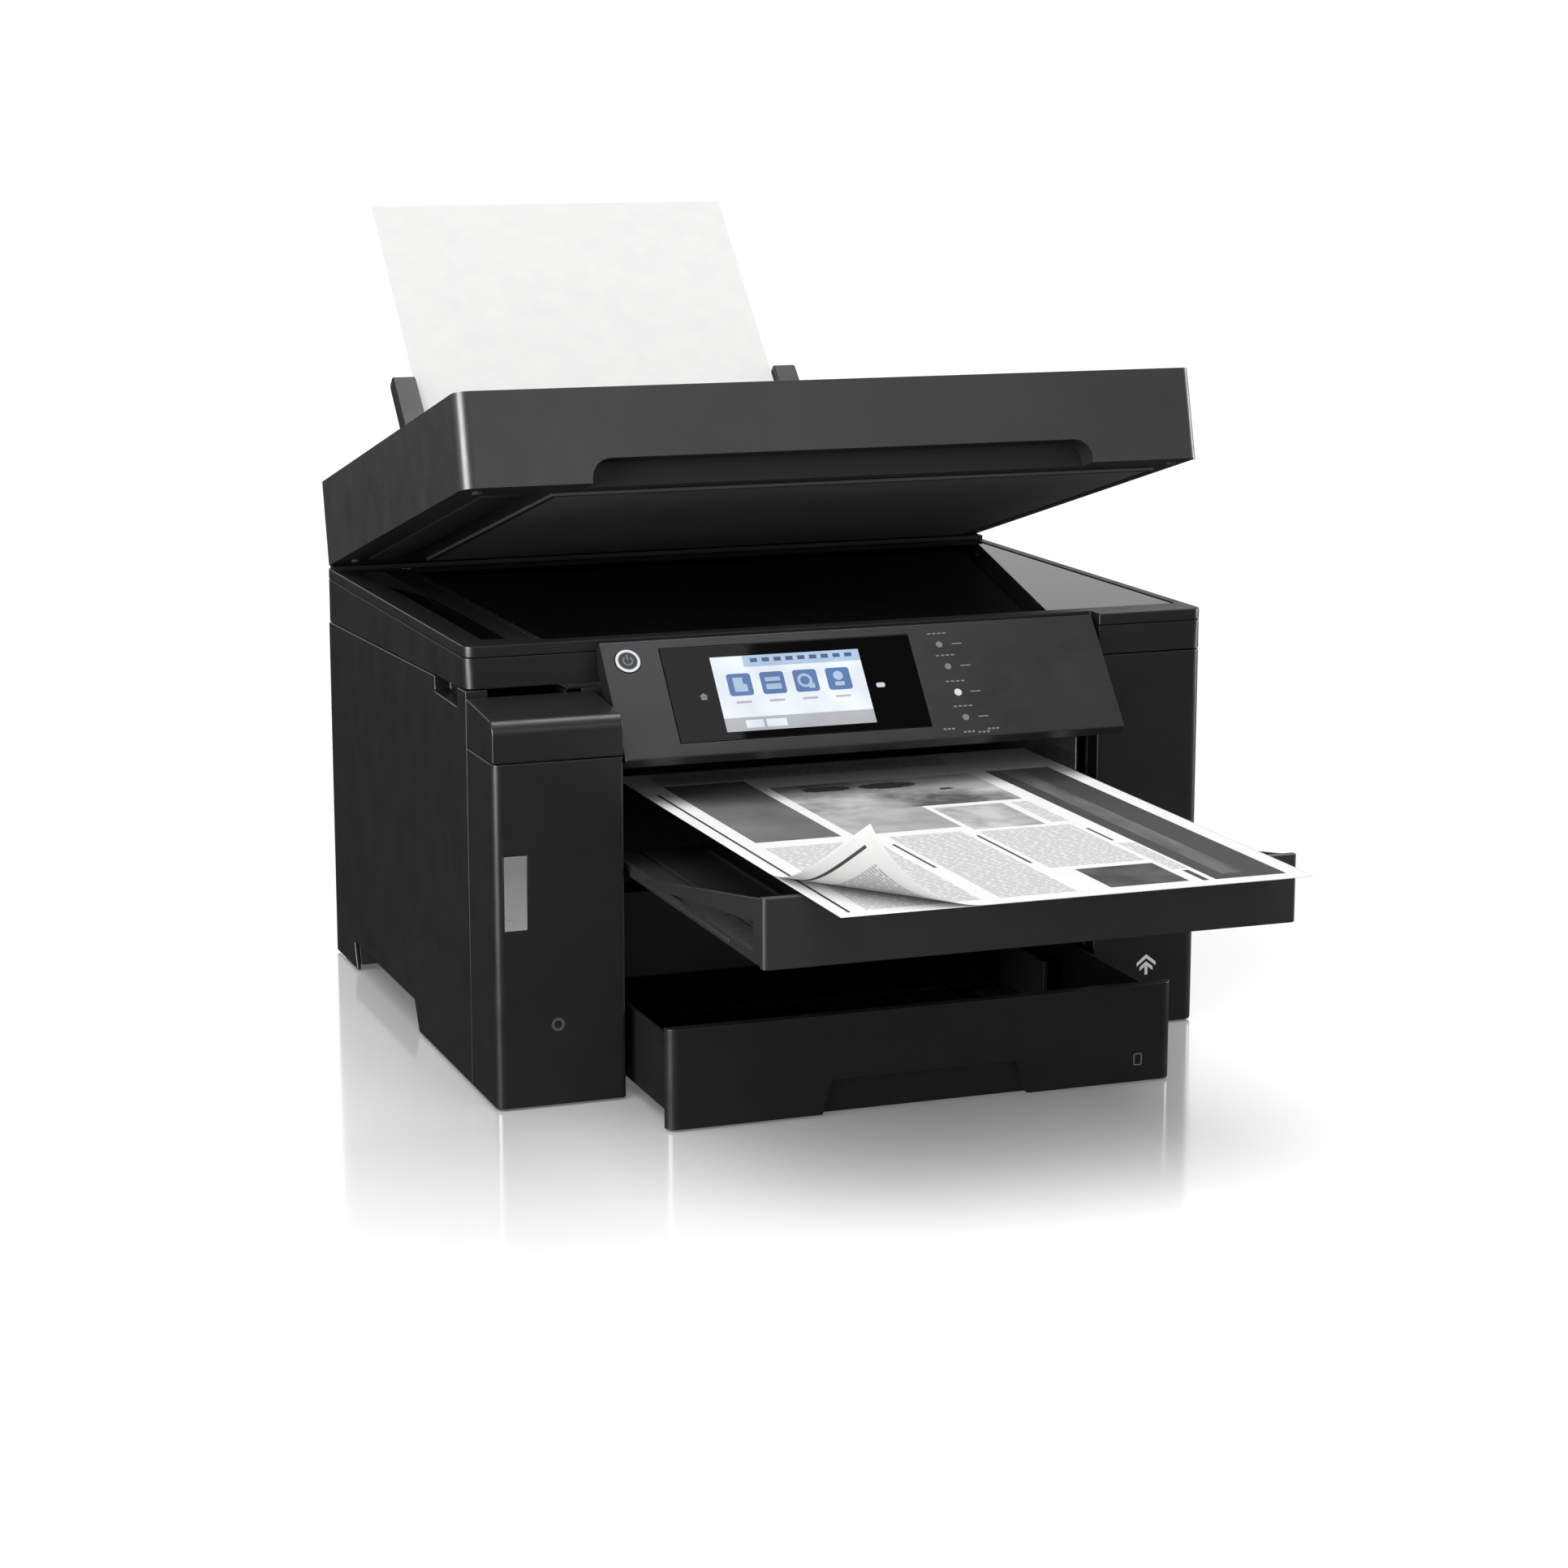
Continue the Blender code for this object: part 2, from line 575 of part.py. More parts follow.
# ---------------------------------------------------------------- control panel
def make_panel(root, looks):
    hinge = (0.0, PANEL_HINGE_Y, PANEL_HINGE_Z)
    frame = frame_empty("panel_hinge", hinge, root, -PANEL_TILT, own_frame=True)
    x0, x1 = BAY_LEFT + 1.0, BAY_RIGHT - 3.0
    low = PANEL_TOP - PANEL_LENGTH
    face, rear = -PANEL_FACE, PANEL_DEPTH - PANEL_FACE
    profile = rounded(
        [
            (face, PANEL_TOP, 1.5),
            (face, low, 1.5),
            (face + 10, low),
            (rear, low + 9),
            (rear, PANEL_TOP - 14),
            (1.0, PANEL_TOP - 0.3),
        ],
        2,
    )
    screen_x = x0 + SCREEN_LEFT
    screen_top = PANEL_TOP - SCREEN_DROP
    thick = 1.7
    pocket = box(
        screen_x - GAP,
        screen_x + SCREEN_WIDTH + GAP,
        face - 2,
        face + thick + GAP,
        screen_top - SCREEN_HEIGHT - GAP,
        screen_top + GAP,
    )
    button_x, button_z = x0 + 16.3, PANEL_TOP - 15.5
    well = disc("y", (button_x, button_z), BUTTON_RADIUS + 0.4, face - 2, face + 6)
    slots = [
        box(x - ARM_HALF - 1, x + ARM_HALF + 1, face + 3.4, rear + 5, PANEL_TOP - 36, PANEL_TOP + 9)
        for x in ARM_X
    ]
    inside = box(x0 + 3, x1 - 3, face + 8.5, rear + 5, low + 20, PANEL_TOP - 40)
    cuts = [pocket, well, inside, *slots]
    solid("control_panel", looks["panel"], frame, prism(profile, "x", x0, x1), (), cuts)
    glass = box(
        screen_x,
        screen_x + SCREEN_WIDTH,
        face,
        face + thick,
        screen_top - SCREEN_HEIGHT,
        screen_top,
    )
    solid("touch_screen", looks["glass"], frame, glass)
    press = frame_empty("power_press", (button_x, face, button_z), frame, own_frame=True)
    button = disc("y", (0.0, 0.0), BUTTON_RADIUS, -0.6, 3.9)
    solid("power_button", looks["panel"], press, button)


# ---------------------------------------------------------------- scanner unit and document cover
def make_scanner(root, looks):
    hinge = (0.0, SCANNER_HINGE_Y, SCANNER_HINGE_Z)
    frame = frame_empty("scanner_hinge", hinge, root)
    split = BODY_HEIGHT - 8.0
    front = FACE + GAP
    floor = [
        (front + WALL, seam(front) + 3.5),
        (BACK - WALL, seam(BACK) + 3.5),
        (BACK - WALL, BODY_HEIGHT + 9),
        (front + WALL, BODY_HEIGHT + 9),
    ]
    below = [(-50, seam(-50) + 0.3), (-50, 0.0), (BACK + 50, 0.0), (BACK + 50, seam(BACK + 50) + 0.3)]
    cuts = [
        prism(below, "x", LEFT - 20, RIGHT + 20),
        prism(floor, "x", LEFT + WALL, RIGHT - WALL),
    ]
    blank = prism(scanner_outline(), "z", seam(BACK) - 5, split)
    solid("scanner_base", looks["shell"], frame, blank, (), cuts)

    x0, x1 = LEFT + GLASS_LEFT, RIGHT - GLASS_RIGHT
    y0, y1 = front + GLASS_FRONT, BACK - GLASS_BACK
    ledge = 5.0
    seat = BODY_HEIGHT - GLASS_THICK - 0.9
    cuts = [
        box(x0 - 0.4, x1 + 0.4, y0 - 0.4, y1 + 0.4, seat, BODY_HEIGHT + 5),
        box(x0 + ledge, x1 - ledge, y0 + ledge, y1 - ledge, split - 5, seat + 5),
    ]
    blank = prism(scanner_outline(), "z", split + GAP, BODY_HEIGHT)
    solid("scanner_frame", looks["shell"], frame, blank, (), cuts)
    pane = box(x0, x1, y0, y1, seat + GAP, seat + GAP + GLASS_THICK)
    solid("scanner_glass", looks["glass"], frame, pane)

    carriage = (LEFT + 21.0, (y0 + y1) / 2, seat - 14)
    slide = frame_empty("scan_carriage_slide", carriage, frame)
    bar = box(LEFT + 21, LEFT + 55, y0 + 9, y1 - 9, seam(y0) + 6, split - 4)
    lamp = box(LEFT + 34, LEFT + 42, y0 + 20, y1 - 20, split - 8, split - 1)
    solid("scan_carriage", looks["frame"], slide, bar, (), [lamp])
    return frame


def make_lid(scanner, looks):
    place = (0.0, LID_HINGE_Y, LID_HINGE_Z)
    frame = frame_empty("lid_hinge", place, scanner, -LID_REST, own_frame=True)
    front, top = LID_FRONT, LID_THICKNESS
    outline = rounded(
        [
            (LEFT, front, 10.0),
            (RIGHT, front, 6.0),
            (RIGHT, LID_BACK, 4.0),
            (LEFT, LID_BACK, 4.0),
        ]
    )
    x0, x1 = LEFT + POCKET_SIDE, RIGHT - POCKET_SIDE
    split = LEFT + ADF_SPLIT
    y0, y1 = front + POCKET_FRONT, POCKET_BACK
    slot = rounded(
        [
            (LEFT + SLOT_LEFT, -1.0),
            (RIGHT - SLOT_RIGHT, -1.0),
            (RIGHT - SLOT_RIGHT, SLOT_HEIGHT, 13.0),
            (LEFT + SLOT_LEFT, SLOT_HEIGHT, 13.0),
        ]
    )
    cuts = [
        box(x0, split, y0, y1, 12.0, top + 5),
        box(split - 1, x1, y0, y1, 30.0, top + 5),
        box(x0 - 3, x1 + 3, front + 18, y0 + 2, 32.0, top - 3),
        box(x0 - 3, x1 + 3, y1 - 2, LID_BACK - 3, 14.0, top - 3),
        box(split + 10, x1 - 16, y0 - 12, y1 + 30, -5.0, 26.0),
        prism(slot, "y", front - 5, front + SLOT_DEPTH),
        prism([(2.5, -1.0), (LID_BACK + 2, -1.0), (LID_BACK + 2, 10.4)], "x", LEFT - 5, RIGHT + 5),
    ]
    roller_x, roller_z = split - 40.0, 38.0
    brackets = [
        box(roller_x - 4, roller_x + 4, y, y + 4, 11.0, 42.0) for y in (y0 + 73, y0 + 193)
    ]
    obj = solid("document_cover", looks["lid"], frame, prism(outline, "z", 0.0, top), (), cuts)
    for count, bracket in enumerate(brackets):
        boolean(obj, bracket, "UNION", count)
    mat = box(LEFT + 67.5, RIGHT - 17.5, front + 33, -20.0, -2.6, -GAP)
    solid("document_mat", looks["mat"], frame, mat)

    cover_hinge = frame_empty("adf_cover_hinge", (x0 + 1, y1, top - 0.5), frame)
    skin = 2.5
    cover = box(x0 + 0.5, split - 0.3, y0 + 0.5, y1 - 0.5, top - 10, top)
    hollow = box(x0 + 3, split - 2.8, y0 + 3, y1 - 3, top - 15, top - skin)
    solid("adf_cover", looks["lid"], cover_hinge, cover, (), [hollow])
    tray_hinge = frame_empty("adf_tray_hinge", (split + 0.4, y1, top - 0.5), frame)
    leaf = box(split + 0.4, x1 - 0.5, y0 + 0.5, y1 - 0.5, top - 4.2, top)
    grip = prism([(x1 - 14, top - 9), (x1 + 3, top - 9), (x1 + 3, top - 1.5)], "y", y0 + 110, y1 - 110)
    solid("adf_tray", looks["lid"], tray_hinge, leaf, (), [grip])

    axis = (roller_x, y0 + 135, roller_z)
    roller_frame = frame_empty("adf_roller_axis", axis, frame)
    shaft = disc("y", (roller_x, roller_z), SHAFT_RADIUS, y0 + 77 + GAP, y0 + 193 - GAP, 12)
    tyres = [disc("y", (roller_x, roller_z), 9.0, y0 + 110, y0 + 160, 16)]
    solid("adf_roller", looks["rubber"], roller_frame, shaft, tyres)


# ---------------------------------------------------------------- paper paths
def make_tray(root, looks):
    place = (BAY_CENTRE, -TRAY_REACH, TRAY_BOTTOM)
    frame = frame_empty("output_tray_slide", place, root)
    x0, x1 = TRAY_LEFT, TRAY_RIGHT
    front, low, high = -TRAY_REACH, TRAY_BOTTOM, TRAY_TOP - 1.0
    back = front + TRAY_LENGTH
    arm = [
        (front + 2, low + 1),
        (front + 230, low + 1),
        (back, low + 1),
        (back, low + 8),
        (front + 205, low + 8),
        (front + 2, high - 0.5),
    ]
    window = [
        (front + 18, low + 7.5),
        (front + 172, low + 7.5),
        (front + 116, low + 14),
        (front + 18, high - 17),
    ]
    joins, cuts = [], []
    for x in (x0, x1 - TRAY_WALL):
        joins.append(prism(arm, "x", x, x + TRAY_WALL))
        cuts.append(prism(window, "x", x - 1, x + TRAY_WALL + 1))
    floor = box(x0 + 1, x1 - 1, front + 2, back, low + 1, low + 4)
    wall = prism(
        rounded([(x0, front, 3.0), (x1, front, 3.0), (x1, front + 6), (x0, front + 6)], 3), "z", low, high
    )
    solid("output_tray", looks["tray"], frame, wall, [floor, *joins], cuts)
    make_printed_sheet(frame, looks)


def make_printed_sheet(frame, looks):
    """Printed sheets lying on the tray and over its front wall."""
    x0, y0 = SHEET_LEFT, SHEET_FRONT
    sheet = box(x0, x0 + SHEET_WIDTH, y0, y0 + SHEET_LENGTH, TRAY_TOP, TRAY_TOP + STACK)
    solid("printed_sheet", looks["paper"], frame, sheet)


def cassette(x0, x1, face, bottom, height, floor, top, cut_depth):
    """A cassette's front plate, tray and the cuts that make them."""
    plate = prism(
        rounded(
            [
                (x0, face, FRONT_PLATE - 0.5),
                (x1, face, FRONT_PLATE - 0.5),
                (x1, face + FRONT_PLATE),
                (x0, face + FRONT_PLATE),
            ],
            6,
        ),
        "z",
        bottom,
        bottom + height,
    )
    inset = 5.0
    back = face + FRONT_PLATE + CASSETTE_LENGTH
    body = box(x0 + inset, x1 - inset, face + FRONT_PLATE - 1, back, floor, top)
    inside = box(
        x0 + inset + CASSETTE_WALL,
        x1 - inset - CASSETTE_WALL,
        face + FRONT_PLATE,
        back - CASSETTE_WALL,
        floor + CASSETTE_WALL,
        top + 5,
    )
    middle = (x0 + x1) / 2
    wide, narrow = 71.0, 64.0
    grip = prism(
        [
            (middle - wide, bottom - 1),
            (middle + wide, bottom - 1),
            (middle + narrow, bottom + cut_depth),
            (middle - narrow, bottom + cut_depth),
        ],
        "y",
        face - 1,
        face + 5.5,
    )
    return plate, [body], [inside, grip]


def make_cassettes(root, looks):
    face = CASSETTE_FACE - PULLED_OUT
    frame = frame_empty("lower_cassette_slide", (BAY_CENTRE, face, 1.0), root)
    x0, x1 = CASSETTE_LEFT, CASSETTE_RIGHT
    middle = (x0 + x1) / 2
    shapes = cassette(x0, x1, face, 1.0, CASSETTE_HEIGHT, CASSETTE_FLOOR, CASSETTE_HEIGHT - 7, 22.0)
    solid("lower_cassette", looks["shell"], frame, shapes[0], shapes[1], shapes[2])
    floor = CASSETTE_FLOOR + CASSETTE_WALL + GAP
    y0, y1 = face + 150, face + 225
    for side, name in ((-1, "left"), (1, "right")):
        inner = middle + side * (SHEET_WIDTH / 2 + 0.8)
        outer = inner + side * 3.0
        guide_frame = frame_empty(f"cassette_guide_{name}_slide", (inner, y0, floor), frame)
        fence = box(min(inner, outer), max(inner, outer), y0, y1, floor, floor + 34)
        toe = inner - side * 26
        foot = box(min(inner, toe), max(inner, toe), y0 + 15, y1 - 15, floor, floor + 2.5)
        solid(f"cassette_guide_{name}", looks["frame"], guide_frame, fence, [foot])

    frame = frame_empty("upper_cassette_slide", (BAY_CENTRE, CASSETTE_FACE, UPPER_CASSETTE_Z), root)
    z0 = UPPER_CASSETTE_Z
    shapes = cassette(x0, x1, CASSETTE_FACE, z0, UPPER_CASSETTE_HEIGHT, z0 + 5, z0 + 50, 12.0)
    solid("upper_cassette", looks["shell"], frame, shapes[0], shapes[1], shapes[2])


def make_rear_feed(root, looks):
    """The leaning support, its sliding extension, the edge guides and the loaded sheet."""
    place = (0.0, FEED_Y0, FEED_Z0)
    feed = frame_empty("rear_feed", place, root, -FEED_LEAN, own_frame=True)
    low = REAR_SHEET_LOW
    sheet0, sheet1 = SHEET_LEFT, SHEET_LEFT + SHEET_WIDTH
    sheet = box(sheet0, sheet1, -STACK, 0.0, low, low + SHEET_LENGTH)
    solid("rear_sheet", looks["paper"], feed, sheet)
    half = SHEET_WIDTH / 2 - 40.5
    back_plate = rounded(
        [
            (BAY_CENTRE - half, low + 7),
            (BAY_CENTRE + half, low + 7),
            (BAY_CENTRE + half, low + 209, 12.0),
            (BAY_CENTRE - half, low + 209, 12.0),
        ]
    )
    solid("rear_support", looks["shell"], feed, prism(back_plate, "y", GAP, 3.8))
    half = SHEET_WIDTH / 2 - 76.5
    leaf = rounded(
        [
            (BAY_CENTRE - half, low + 119),
            (BAY_CENTRE + half, low + 119),
            (BAY_CENTRE + half, low + 330, 14.0),
            (BAY_CENTRE - half, low + 330, 14.0),
        ]
    )
    slide = frame_empty("rear_extension_slide", (BAY_CENTRE, 4.1, low + 119), feed)
    solid("rear_support_extension", looks["shell"], slide, prism(leaf, "y", 4.1, 6.9))
    for side, edge, name in ((-1, sheet0, "left"), (1, sheet1, "right")):
        inner = edge + side * 0.8
        outer = inner + side * GUIDE_THICK
        guide_frame = frame_empty(f"rear_guide_{name}_slide", (inner, 0.0, 0.0), feed)
        fence = prism(
            rounded([(-13, low + 14), (5.5, low + 14), (5.5, GUIDE_TOP, 3), (-8, GUIDE_TOP, 3)], 2),
            "x",
            min(inner, outer),
            max(inner, outer),
        )
        toe = inner - side * 32
        tongue = box(min(inner, toe), max(inner, toe), GAP, 3.8, low + 30, low + 130)
        solid(f"rear_guide_{name}", looks["dark"], guide_frame, fence, [tongue])


# ---------------------------------------------------------------- print engine
def roller(name, y, look, root, grips):
    """A shaft across the bay, with its gear at the left end and rubber sleeves along it."""
    frame = frame_empty(f"{name}_axis", (BAY_CENTRE, y, ROLLER_Z), root)
    gear_x = FRAME_LEFT + 3.5
    shaft = disc("x", (y, ROLLER_Z), SHAFT_RADIUS, FRAME_LEFT - 2, BAY_RIGHT + 8, 12)
    gear = gear_shape(y, SMALL_TEETH, gear_x, 0.5 if y > IDLER_Y else 0.0)
    span = (TRAY_RIGHT - TRAY_LEFT - 20) / grips
    sleeves = [
        disc("x", (y, ROLLER_Z), ROLLER_RADIUS, TRAY_LEFT + 10 + i * span, TRAY_LEFT + 4 + (i + 1) * span, 14)
        for i in range(grips)
    ]
    solid(name, look, frame, shaft, [gear, *sleeves])


def gear_shape(y, teeth, x, phase):
    """A straight-toothed wheel along x; its tooth 0 points towards +y, moved by a phase in teeth."""
    pitch = GEAR_MODULE * teeth / 2
    root_radius, tip_radius = pitch - 1.25 * GEAR_MODULE, pitch + 0.85 * GEAR_MODULE
    outline = []
    for i in range(teeth):
        for share, radius in ((-0.3, root_radius), (-0.1, tip_radius), (0.1, tip_radius), (0.3, root_radius)):
            angle = 2 * math.pi * (i + phase + share) / teeth
            outline.append((y + radius * math.cos(angle), ROLLER_Z + radius * math.sin(angle)))
    return prism(outline, "x", x, x + GEAR_WIDTH)


def make_engine(root, looks):
    left, mid = FRAME_LEFT, BAY_RIGHT + 3.0
    right = RIGHT - WALL - 5.0
    plate = 2.0
    y0, y1 = FACE + 6, ENGINE_BACK
    shelf = box(left, mid + plate, y0, BACK - 15, SHELF, SHELF + 1.8)
    rail_top = min(CARRIAGE_Z + CARRIAGE_HIGH + 2, seam(y1) - 0.8)
    joins = [
        box(left, left + plate, y0 + 20, y1, BASE_TOP + GAP, rail_top),
        box(mid, mid + plate, y0 + 20, y1, BASE_TOP + GAP, ROLLER_Z + 4),
        box(mid, mid + plate, RAIL_Y + 5, y1, SHELF, rail_top),
        box(right, right + plate, y0 + 20, y1, SHELF, rail_top),
        box(left, right + plate, y1 - plate, y1, CARRIAGE_Z + 9, rail_top),
    ]
    cuts = []
    for y in (EXIT_Y, FEED_Y):
        for x in (left, mid):
            half = SHAFT_RADIUS + 0.5
            notch_top = ROLLER_Z + 30 if x == mid else ROLLER_Z + half
            cuts.append(box(x - 1, x + plate + 1, y - half, y + half, ROLLER_Z - half, notch_top))
    solid("engine_frame", looks["steel"], root, shelf, joins, cuts)

    rail_x0, rail_x1 = left + plate + GAP, right - GAP
    profile = [
        (RAIL_Y, CARRIAGE_Z + 2),
        (RAIL_Y + 2.5, CARRIAGE_Z + 2),
        (RAIL_Y + 2.5, rail_top - 2),
        (RAIL_Y - 6, rail_top - 2),
        (RAIL_Y - 6, rail_top - 4),
        (RAIL_Y, rail_top - 4),
    ]
    gear_room = box(left, left + 12, RAIL_Y - 9, RAIL_Y + 9, CARRIAGE_Z, ROLLER_Z + 28)
    solid("guide_rail", looks["steel"], root, prism(profile, "x", rail_x0, rail_x1), (), [gear_room])

    bed_x0, bed_x1 = TRAY_LEFT + 2, TRAY_RIGHT - 2
    bed = box(bed_x0, bed_x1, IDLER_Y - 45, IDLER_Y + 45, ROLLER_Z - 3, ROLLER_Z + 3)
    ribs = 10
    step = (bed_x1 - bed_x0) / ribs
    grooves = [
        box(
            bed_x0 + i * step + 6,
            bed_x0 + (i + 1) * step - 3,
            IDLER_Y - 38,
            IDLER_Y + 38,
            ROLLER_Z + 0.5,
            ROLLER_Z + 9,
        )
        for i in range(ribs)
    ]
    solid("platen", looks["frame"], root, bed, (), grooves)

    home = right - 6 - CARRIAGE_WIDTH
    car_y0, car_y1 = RAIL_Y - 65, RAIL_Y - 9
    place = (home + CARRIAGE_WIDTH / 2, RAIL_Y - 30, CARRIAGE_Z + 10)
    slide = frame_empty("print_carriage_slide", place, root)
    block = box(home, home + CARRIAGE_WIDTH, car_y0, car_y1, CARRIAGE_Z, CARRIAGE_Z + CARRIAGE_HIGH - 4)
    steps = [
        box(home + 6 + i * 15, home + 17 + i * 15, car_y0 + 6, car_y0 + 44, CARRIAGE_Z + 20, 400)
        for i in range(4)
    ]
    solid("print_carriage", looks["frame"], slide, block, (), steps)

    pulley_z = CARRIAGE_Z + 17
    x_drive, x_idle = right - 14, left + 20
    for name, x in (("drive_pulley", x_drive), ("idler_pulley", x_idle)):
        frame = frame_empty(f"{name}_axis", (x, RAIL_Y - 4, pulley_z), root)
        wheel = disc("y", (x, pulley_z), PULLEY_RADIUS, RAIL_Y - 6.5, RAIL_Y - 0.5, 24)
        bore = disc("y", (x, pulley_z), 2.0, RAIL_Y - 9, RAIL_Y + 2, 12)
        solid(name, looks["frame"], frame, wheel, (), [bore])
    inner = PULLEY_RADIUS + GAP
    belt = prism(stadium(x_idle, x_drive, pulley_z, inner + BELT_THICK), "y", RAIL_Y - 6, RAIL_Y - 1)
    hole = prism(stadium(x_idle, x_drive, pulley_z, inner), "y", RAIL_Y - 8, RAIL_Y + 1)
    solid("carriage_belt", looks["rubber"], root, belt, (), [hole])
    motor = disc("y", (x_drive, pulley_z - 4), 13.0, RAIL_Y + 3, ENGINE_BACK - 4)
    solid("carriage_motor", looks["steel"], root, motor)

    roller("feed_roller", FEED_Y, looks["roller"], root, 5)
    roller("exit_roller", EXIT_Y, looks["roller"], root, 7)
    frame = frame_empty("idler_gear_axis", (FRAME_LEFT, IDLER_Y, ROLLER_Z), root)
    hub = disc("x", (IDLER_Y, ROLLER_Z), 2.5, FRAME_LEFT, FRAME_LEFT + 20, 12)
    wheel = gear_shape(IDLER_Y, IDLER_TEETH, FRAME_LEFT + 3.5, 0.0)
    solid("idler_gear", looks["gear"], frame, wheel, (), [hub])

    station_x = mid + plate + 3
    station = box(station_x, right - 8, car_y0 + 2, car_y1 - 2, ROLLER_Z - 20, ROLLER_Z + 4.5)
    wells = [
        box(station_x + 3 + i * 12, station_x + 12 + i * 12, car_y0 + 8, car_y1 - 8, ROLLER_Z, ROLLER_Z + 9)
        for i in range(4)
    ]
    solid("capping_station", looks["frame"], root, station, (), wells)

    board_x = RIGHT - WALL - 12
    board_y0, board_y1 = FACE + 40, BACK - 173
    board = box(board_x, board_x + 1.6, board_y0, board_y1, 45.0, 115.0)
    unit = (board_y1 - board_y0) / 17
    spots = [board_y0 + unit * (2 + 3.8 * i) for i in range(4)]
    chips = [box(board_x - 4, board_x + 1, y, y + 2.2 * unit, 60.0, 82.0) for y in spots]
    solid("main_board", looks["board"], root, board, chips)
    supply = box(RIGHT - 62, RIGHT - 8, BACK - 150, BACK - 30, HOLD_RISE + WALL + GAP, 105.0)
    vents = [
        box(RIGHT - 65, RIGHT - 58, BACK - 142 + 14 * i, BACK - 136 + 14 * i, 40.0, 95.0) for i in range(8)
    ]
    solid("power_supply", looks["steel"], root, supply, (), vents)


def stadium(x0, x1, z, radius, steps=10):
    """A loop round two equal circles, as an outline."""
    outline = []
    for centre, start in ((x1, -math.pi / 2), (x0, math.pi / 2)):
        for i in range(steps + 1):
            angle = start + math.pi * i / steps
            outline.append((centre + radius * math.cos(angle), z + radius * math.sin(angle)))
    return outline


# ---------------------------------------------------------------- assembly
def make_looks():
    return {
        "shell": material("shell_plastic", (0.021, 0.021, 0.022), 0.42),
        "lid": material("lid_plastic", (0.045, 0.045, 0.047), 0.45),
        "panel": material("panel_plastic", (0.05, 0.05, 0.052), 0.4),
        "tray": material("tray_plastic", (0.03, 0.03, 0.031), 0.45),
        "frame": material("frame_plastic", (0.03, 0.03, 0.032), 0.6),
        "dark": material("dark_plastic", (0.01, 0.01, 0.01), 0.4),
        "mat": material("mat_foam", (0.06, 0.06, 0.06), 0.8),
        "rubber": material("rubber", (0.015, 0.015, 0.015), 0.85),
        "roller": material("roller", (0.05, 0.05, 0.05), 0.7),
        "gear": material("gear_plastic", (0.75, 0.74, 0.7), 0.5),
        "glass": material("gloss_glass", (0.005, 0.005, 0.006), 0.05),
        "window": material("window_plastic", (0.28, 0.28, 0.29), 0.35),
        "tank": material("tank_plastic", (0.6, 0.6, 0.6), 0.3),
        "steel": material("sheet_steel", (0.55, 0.56, 0.57), 0.35, 1.0),
        "board": material("circuit_board", (0.02, 0.12, 0.05), 0.5),
        "paper": material("paper", (0.9, 0.9, 0.88), 0.8),
        "black": material("cap_black", (0.02, 0.02, 0.02), 0.4),
        "cyan": material("cap_cyan", (0.0, 0.35, 0.6), 0.4),
        "magenta": material("cap_magenta", (0.6, 0.02, 0.2), 0.4),
        "yellow": material("cap_yellow", (0.8, 0.6, 0.02), 0.4),
    }


def depth_limits():
    """The whole machine's first and last y: the printed sheet's near edge and the loaded sheet's top."""
    lean = math.radians(FEED_LEAN)
    top = REAR_SHEET_LOW + SHEET_LENGTH
    return SHEET_FRONT, FEED_Y0 + top * math.sin(lean)


def main():
    clear_scene()
    first, last = depth_limits()
    root = frame_empty("origin", (0.0, 0.0, 0.0), None)
    root.location.y = -(first + last) / 2 * MM
    looks = make_looks()
    make_base(root, looks)
    make_side_covers(root, looks)
    make_rear(root, looks)
    make_front_frame(root, looks)
    make_tower(root, looks)
    make_panel(root, looks)
    scanner = make_scanner(root, looks)
    make_lid(scanner, looks)
    make_tray(root, looks)
    make_cassettes(root, looks)
    make_rear_feed(root, looks)
    make_engine(root, looks)


main()
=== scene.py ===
"""Looks of an A3 ink-tank multifunction printer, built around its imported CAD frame.

Shapes are drawn in millimetres in one of four spaces and then placed in the row frame, in metres:
BODY stands on the floor with y = 0 at the front of the ink-tank tower, PANEL lies on the tilted panel,
LID lies on the open document cover, and FEED lies on the leaning rear paper support.
"""

import json
import math
import random

import bmesh
import bpy
from mathutils import Matrix, Vector


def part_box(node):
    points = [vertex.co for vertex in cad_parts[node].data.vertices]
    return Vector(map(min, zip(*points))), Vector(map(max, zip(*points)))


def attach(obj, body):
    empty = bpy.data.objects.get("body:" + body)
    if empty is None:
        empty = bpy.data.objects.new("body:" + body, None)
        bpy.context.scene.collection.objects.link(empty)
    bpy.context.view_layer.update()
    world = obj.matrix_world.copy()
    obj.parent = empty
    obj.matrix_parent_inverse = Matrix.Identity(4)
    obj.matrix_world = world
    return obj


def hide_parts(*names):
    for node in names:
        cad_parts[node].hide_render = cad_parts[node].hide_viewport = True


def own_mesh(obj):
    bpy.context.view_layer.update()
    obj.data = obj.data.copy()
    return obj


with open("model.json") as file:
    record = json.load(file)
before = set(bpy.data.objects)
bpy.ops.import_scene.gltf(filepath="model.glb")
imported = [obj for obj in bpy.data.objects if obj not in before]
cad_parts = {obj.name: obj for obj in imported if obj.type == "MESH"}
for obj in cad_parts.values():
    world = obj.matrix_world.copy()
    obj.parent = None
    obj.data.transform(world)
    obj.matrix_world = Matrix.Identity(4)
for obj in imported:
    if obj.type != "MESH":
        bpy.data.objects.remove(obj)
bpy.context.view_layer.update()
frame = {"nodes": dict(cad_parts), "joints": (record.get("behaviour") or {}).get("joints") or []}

MM = 0.001
PANEL_TILT = 39.5  # degrees from upright
LID_REST = 14.6  # degrees that the document cover stands open
FEED_LEAN = 44.3
FEED_PLACE = (0.0, 497.0, 280.0)  # a point of the loaded sheet, in BODY

